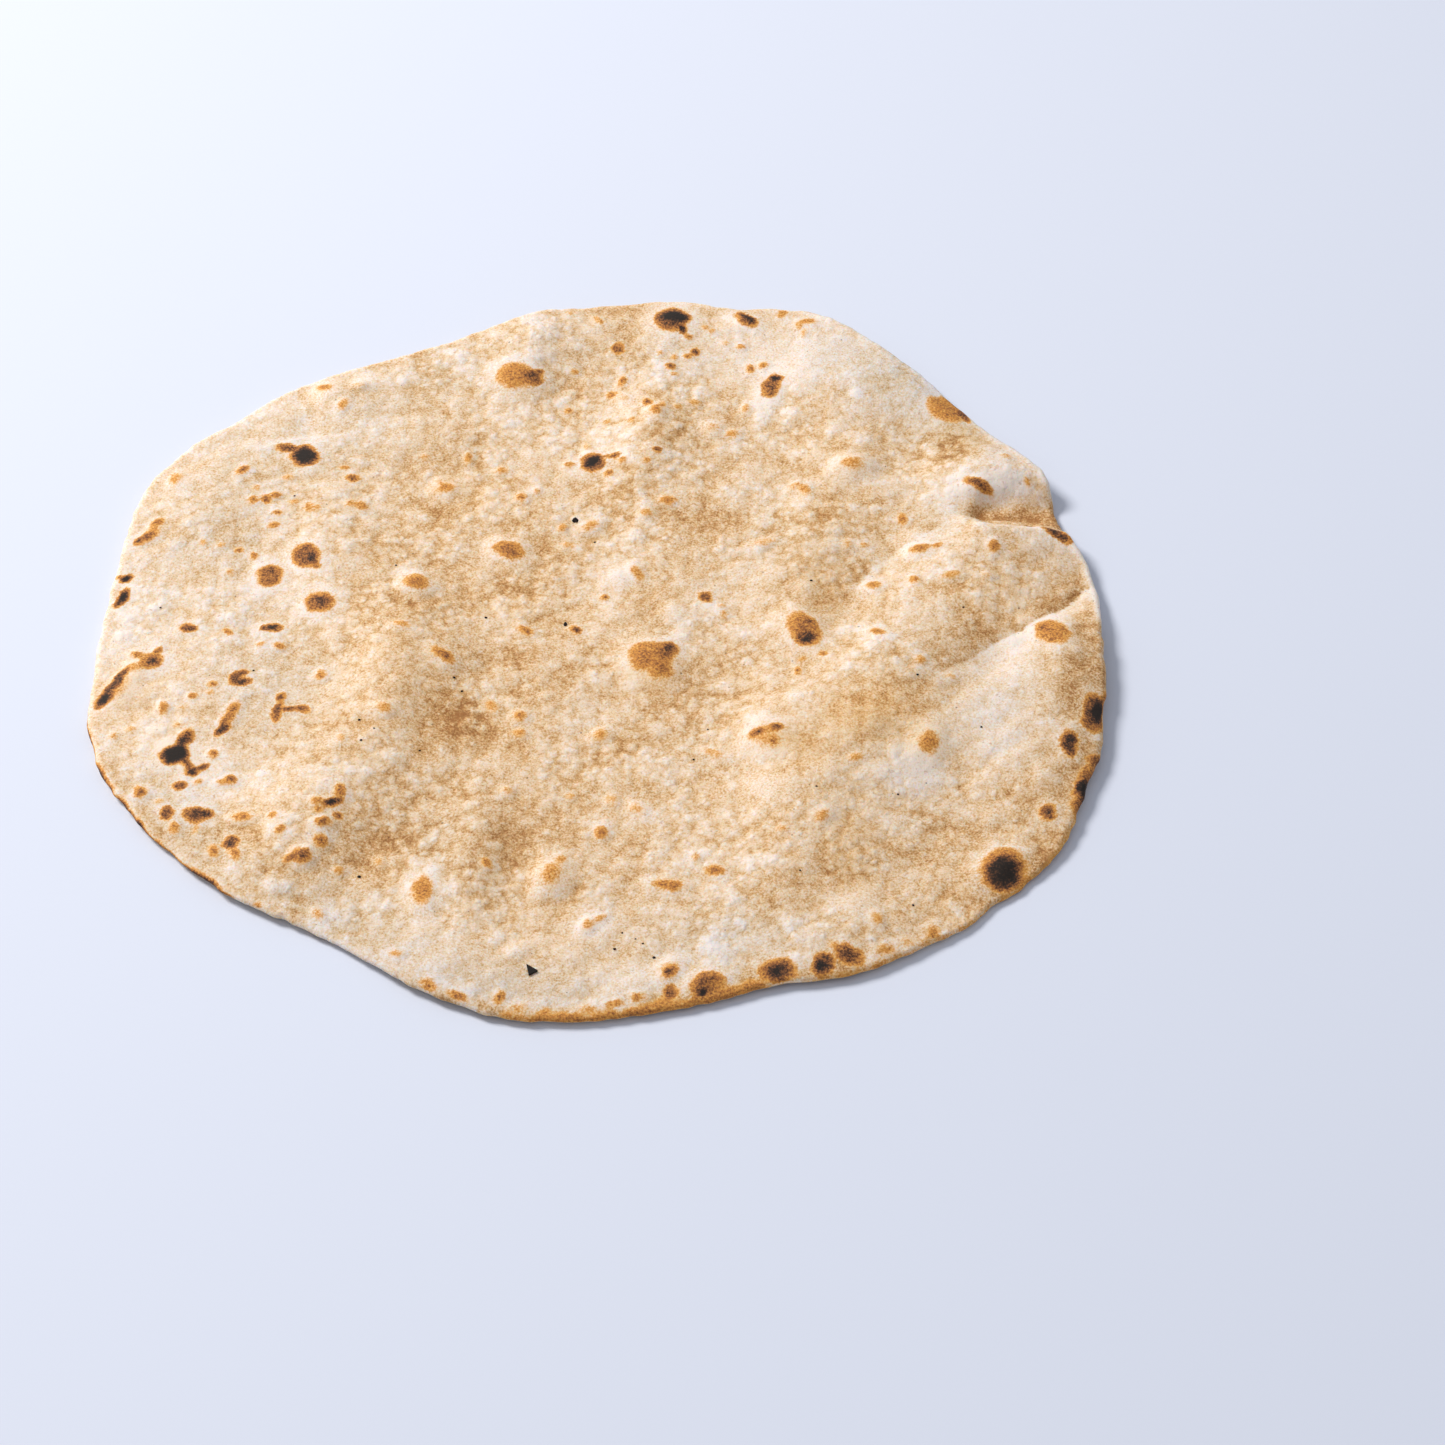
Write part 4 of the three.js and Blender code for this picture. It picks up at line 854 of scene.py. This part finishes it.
for name, detail, roughness in [
    ("mottle", 4, 0.6), ("patch", 3, 0.55), ("flour", 2, 0.7), ("clump", 1, 0.5), ("bran", 1, 0.5),
    ("wander", 1, 0.5),
]:
    scale = 1000 / dough[name + "Grain"]
    noises[name] = addNode(
        "TexNoise", {"Scale": scale, "Detail": detail, "Roughness": roughness}, {"Vector": place}
    )
mottle, patch, flour, clumps, bran = (
    noises[name]["Fac"] for name in ("mottle", "patch", "flour", "clump", "bran")
)
grain = addNode("MapRange", {"From Min": 0.32, "From Max": 0.68}, {"Value": flour})[0]
burntHere, ringHere, toastAndShadingHere, bubbleHere, pebblyHere, flourAndShadeHere, yellowingAndBounceHere = (
    addNode("Attribute", {"attribute_name": name})["Fac"]
    for name in ("burnt", "paleRing", "toast", "bubble", "pebbly", "floury", "steamed")
)

# small round bubbles in two sizes, fading softly from the middle of each to a radius drawn for it, and the
# fine golden net that is left where the larger ones meet
wandered = addNode(
    "VectorMath", {"operation": "MULTIPLY_ADD", 1: [dough["wanderReach"] * mm] * 3},
    {0: noises["wander"]["Color"], 2: place},
)[0]
pebbles = []
for size in dough["pebbleSizes"]:
    cells = addNode("TexVoronoi", {"voronoi_dimensions": "2D", "Scale": 1000 / size}, {"Vector": wandered})
    reach = addNode("Math", {"operation": "MULTIPLY_ADD", 1: 0.75, 2: 0.28}, {0: cells["Color"]})[0]
    pebble = addNode(
        "MapRange", {"interpolation_type": "SMOOTHSTEP", "To Min": 1, "To Max": 0},
        {"Value": cells["Distance"], "From Max": reach},
    )[0]
    pebbles.append(addNode("Math", {"operation": "MULTIPLY"}, {0: pebble, 1: pebblyHere})[0])
largest = dough["pebbleSizes"][0]
seams = addNode(
    "TexVoronoi", {"voronoi_dimensions": "2D", "feature": "DISTANCE_TO_EDGE", "Scale": 1000 / largest},
    {"Vector": wandered},
)["Distance"]
seamLine = addNode(
    "MapRange", {"interpolation_type": "SMOOTHSTEP", "From Max": 0.5 / largest, "To Min": 1, "To Max": 0},
    {"Value": seams},
)[0]
seamWhere = addNode(
    "MapRange", {"interpolation_type": "SMOOTHSTEP", "From Min": 0.42, "From Max": 0.62}, {"Value": mottle}
)[0]
net = addNode("Math", {"operation": "MULTIPLY"}, {0: seamLine, 1: seamWhere})[0]
net = addNode("Math", {"operation": "MULTIPLY"}, {0: net, 1: pebblyHere})[0]

# loose flour is sandier where there are no small bubbles
sandiness = addNode("Math", {"operation": "MULTIPLY_ADD", 1: -0.3, 2: 0.72}, {0: pebblyHere})[0]
evenGrain = addNode("Math", {"operation": "ADD", 1: -0.5}, {0: grain})[0]
sand = addNode("Math", {"operation": "MULTIPLY"}, {0: evenGrain, 1: sandiness})[0]

# how brown the dough is: 0 cream, 1 brown; the broad browning also carries painted shade and painted light,
# and the pale ring partly painted highlight
tone = toastAndShadingHere
for source, weight, offset in [
    (mottle, 0.32, -0.16), (patch, 0.4, -0.2), (sand, 1, 0), (ringHere, -0.42, 0),
    (bubbleHere, -0.8, 0.59), (pebbles[0], -0.27, 0.11), (pebbles[1], -0.19, 0.07), (net, 0.06, -0.01),
]:
    shifted = addNode("Math", {"operation": "MULTIPLY_ADD", 1: weight, 2: offset}, {0: source})[0]
    tone = addNode("Math", {"operation": "ADD"}, {0: tone, 1: shifted})[0]
doughStops = [(0, "#f2e6dc"), (0.25, "#edd8c1"), (0.5, "#e4c69f"), (0.75, "#cda068"), (1, "#a4703d")]
doughColor = addNode("ValToRGB", {"stops": doughStops}, {"Fac": tone})["Color"]

# reddish flecks of bran, and here and there a dark speck of it: one cell in four has one, about half a
# millimetre wide
branMask = addNode("MapRange", {"From Min": 0.66, "From Max": 0.74, "To Max": 0.4}, {"Value": bran})[0]
spacing = dough["speckSpacing"]
specks = addNode("TexVoronoi", {"voronoi_dimensions": "2D", "Scale": 1000 / spacing}, {"Vector": place})
speckSize = addNode(
    "MapRange", {"From Min": 0.75, "From Max": 1, "To Max": 0.3 / spacing}, {"Value": specks["Color"]}
)[0]
inSpeck = addNode("Math", {"operation": "LESS_THAN"}, {0: specks["Distance"], 1: speckSize})[0]
speckMask = addNode("Math", {"operation": "MULTIPLY", 1: 0.6}, {0: inSpeck})[0]

# dry flour and painted shade take some of the yellow out of the dough, a tint that is partly painted warm
# bounce light in the hollows adds some, and the bran lies over both
for code, blend, mask in [
    ("#e7f1ff", "MULTIPLY", flourAndShadeHere), ("#fff0d0", "MULTIPLY", yellowingAndBounceHere),
    ("#b07a48", "MIX", branMask), ("#5b3f2c", "MIX", speckMask),
]:
    doughColor = addNode(
        "MixRGB", {"blend_type": blend, "Color2": hexColor(code)}, {"Fac": mask, "Color1": doughColor}
    )[0]

# toasted and charred marks: each grain of the dough is burnt more or less than its neighbours, so a mark is
# speckled inside and breaks up into grains at its edge
clumpy = addNode("Math", {"operation": "MULTIPLY_ADD", 1: 0.6, 2: 0.7}, {0: clumps})[0]
baked = addNode("Math", {"operation": "MULTIPLY"}, {0: burntHere, 1: clumpy})[0]
grainTone = addNode("Math", {"operation": "MULTIPLY_ADD", 1: 0.4, 2: -0.2}, {0: grain})[0]
markTone = addNode("Math", {"operation": "ADD"}, {0: grainTone, 1: baked})[0]
grainy = addNode("Math", {"operation": "MULTIPLY_ADD", 1: 0.6, 2: 0.7}, {0: grain})[0]
grainyEdge = addNode("Math", {"operation": "MULTIPLY"}, {0: baked, 1: grainy})[0]
markMask = addNode(
    "MapRange", {"interpolation_type": "SMOOTHSTEP", "From Min": 0.02, "From Max": 0.32},
    {"Value": grainyEdge},
)[0]
markStops = [  # from gold through orange and brown to char
    (0, "#f1c276"), (0.25, "#e0a450"), (0.38, "#cc8b40"), (0.5, "#ae7239"), (0.62, "#87552e"),
    (0.74, "#573620"), (0.88, "#33231a"), (1, "#20160f"),
]
markColor = addNode("ValToRGB", {"stops": markStops}, {"Fac": markTone})["Color"]
marked = addNode("MixRGB", {}, {"Fac": markMask, "Color1": doughColor, "Color2": markColor})[0]

# the tiny bubbles and the grain of the flour are also felt in the light
tiny = addNode("Math", {"operation": "MULTIPLY_ADD", 1: 0.6}, {0: pebbles[1], 2: pebbles[0]})[0]
height = addNode("Math", {"operation": "MULTIPLY_ADD", 1: 0.3}, {0: grain, 2: tiny})[0]
bump = addNode("Bump", {"Strength": 1.0, "Distance": dough["bumpDepth"] * mm}, {"Height": height})[0]
surface = addNode(
    "BsdfPrincipled",
    {
        "Roughness": dough["roughness"], "IOR": 1.45, "Subsurface Weight": 0.35,
        "Subsurface Radius": (1.0, 0.55, 0.3), "Subsurface Scale": dough["softDepth"] * mm,
    },
    {"Base Color": marked, "Normal": bump},
)
addNode("OutputMaterial", {}, {"Surface": surface["BSDF"]})
breadMesh.materials.append(bakedDough)

burntFlour = bpy.data.materials.new("burntFlour")  # charcoal black, dry and dull
burntFlour.use_nodes = True
burntShader = burntFlour.node_tree.nodes["Principled BSDF"]
burntShader.inputs["Base Color"].default_value = hexColor("#120b08")
burntShader.inputs["Roughness"].default_value = 0.9
burntShader.inputs["IOR"].default_value = 1.5
crumbMesh.materials.append(burntFlour)
print("materials ready")

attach(chapatiBread, "root")
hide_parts("chapati")
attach(charredCrumbs, "root")

# floor, light and camera

studio = {
    "floorSide": 6.0,  # m
    "keyAzimuth": 150,  # degrees from +X: light from the back left
    "keyElevation": 42,
    "keyDistance": 1.6,
    "keySize": 0.55,
    "keyPower": 25.1,
    "fillStrength": 0.47,
}
half = studio["floorSide"] / 2
floorMesh = bpy.data.meshes.new("studioFloor")
floorCorners = [(-half, -half, 0), (half, -half, 0), (half, half, 0), (-half, half, 0)]
floorMesh.from_pydata(floorCorners, [], [(0, 1, 2, 3)])
studioFloor = bpy.data.objects.new("studioFloor", floorMesh)
bpy.context.scene.collection.objects.link(studioFloor)
paper = bpy.data.materials.new("mattWhitePaper")  # smooth backdrop paper, no gloss
paper.use_nodes = True
paperShader = paper.node_tree.nodes["Principled BSDF"]
paperShader.inputs["Base Color"].default_value = hexColor("#dce3f3")
paperShader.inputs["Roughness"].default_value = 0.9
floorMesh.materials.append(paper)

world = bpy.data.worlds.new("softStudio")
bpy.context.scene.world = world
world.use_nodes = True
sky = world.node_tree.nodes["Background"]
sky.inputs["Color"].default_value = hexColor("#f3f5fb")
sky.inputs["Strength"].default_value = studio["fillStrength"]

keyAzimuth, keyElevation = math.radians(studio["keyAzimuth"]), math.radians(studio["keyElevation"])
keyDirection = Vector((
    math.cos(keyElevation) * math.cos(keyAzimuth),
    math.cos(keyElevation) * math.sin(keyAzimuth),
    math.sin(keyElevation),
))
keyLight = bpy.data.lights.new("keyLight", "AREA")
keyLight.shape, keyLight.size, keyLight.energy = "DISK", studio["keySize"], studio["keyPower"]
keyLight.color = hexColor("#fffaf4")[:3]
key = bpy.data.objects.new("keyLight", keyLight)
key.location = keyDirection * studio["keyDistance"]
key.rotation_euler = keyDirection.to_track_quat("Z", "Y").to_euler()
bpy.context.scene.collection.objects.link(key)

lens = {
    "imageSide": 1445,  # px
    "focalPixels": 4640,
    "sensor": 36.0,
    "elevation": 46.2,
    "roll": 1.25,
    "distance": 970,  # mm
    "lookAt": (25.5, -22.5, 0),
}
elevation, roll = math.radians(lens["elevation"]), math.radians(lens["roll"])
back = Vector((0, -math.cos(elevation), math.sin(elevation)))
right = Vector((1, 0, 0))
up = back.cross(right)
rolledRight = right * math.cos(roll) + up * math.sin(roll)
rolledUp = up * math.cos(roll) - right * math.sin(roll)
lookAt = (Vector(lens["lookAt"]) + Vector(shift.tolist())) * mm
cameraData = bpy.data.cameras.new("studioLens")
cameraData.sensor_width = lens["sensor"]
cameraData.lens = lens["focalPixels"] * lens["sensor"] / lens["imageSide"]
cameraData.clip_end = 20
camera = bpy.data.objects.new("studioCamera", cameraData)
camera.matrix_world = Matrix.Translation(lookAt + back * lens["distance"] * mm) @ Matrix(
    (rolledRight, rolledUp, back)
).transposed().to_4x4()
bpy.context.scene.collection.objects.link(camera)
bpy.context.scene.camera = camera
bpy.context.scene.view_settings.view_transform = "Standard"
print("light and camera ready")

bpy.context.view_layer.update()
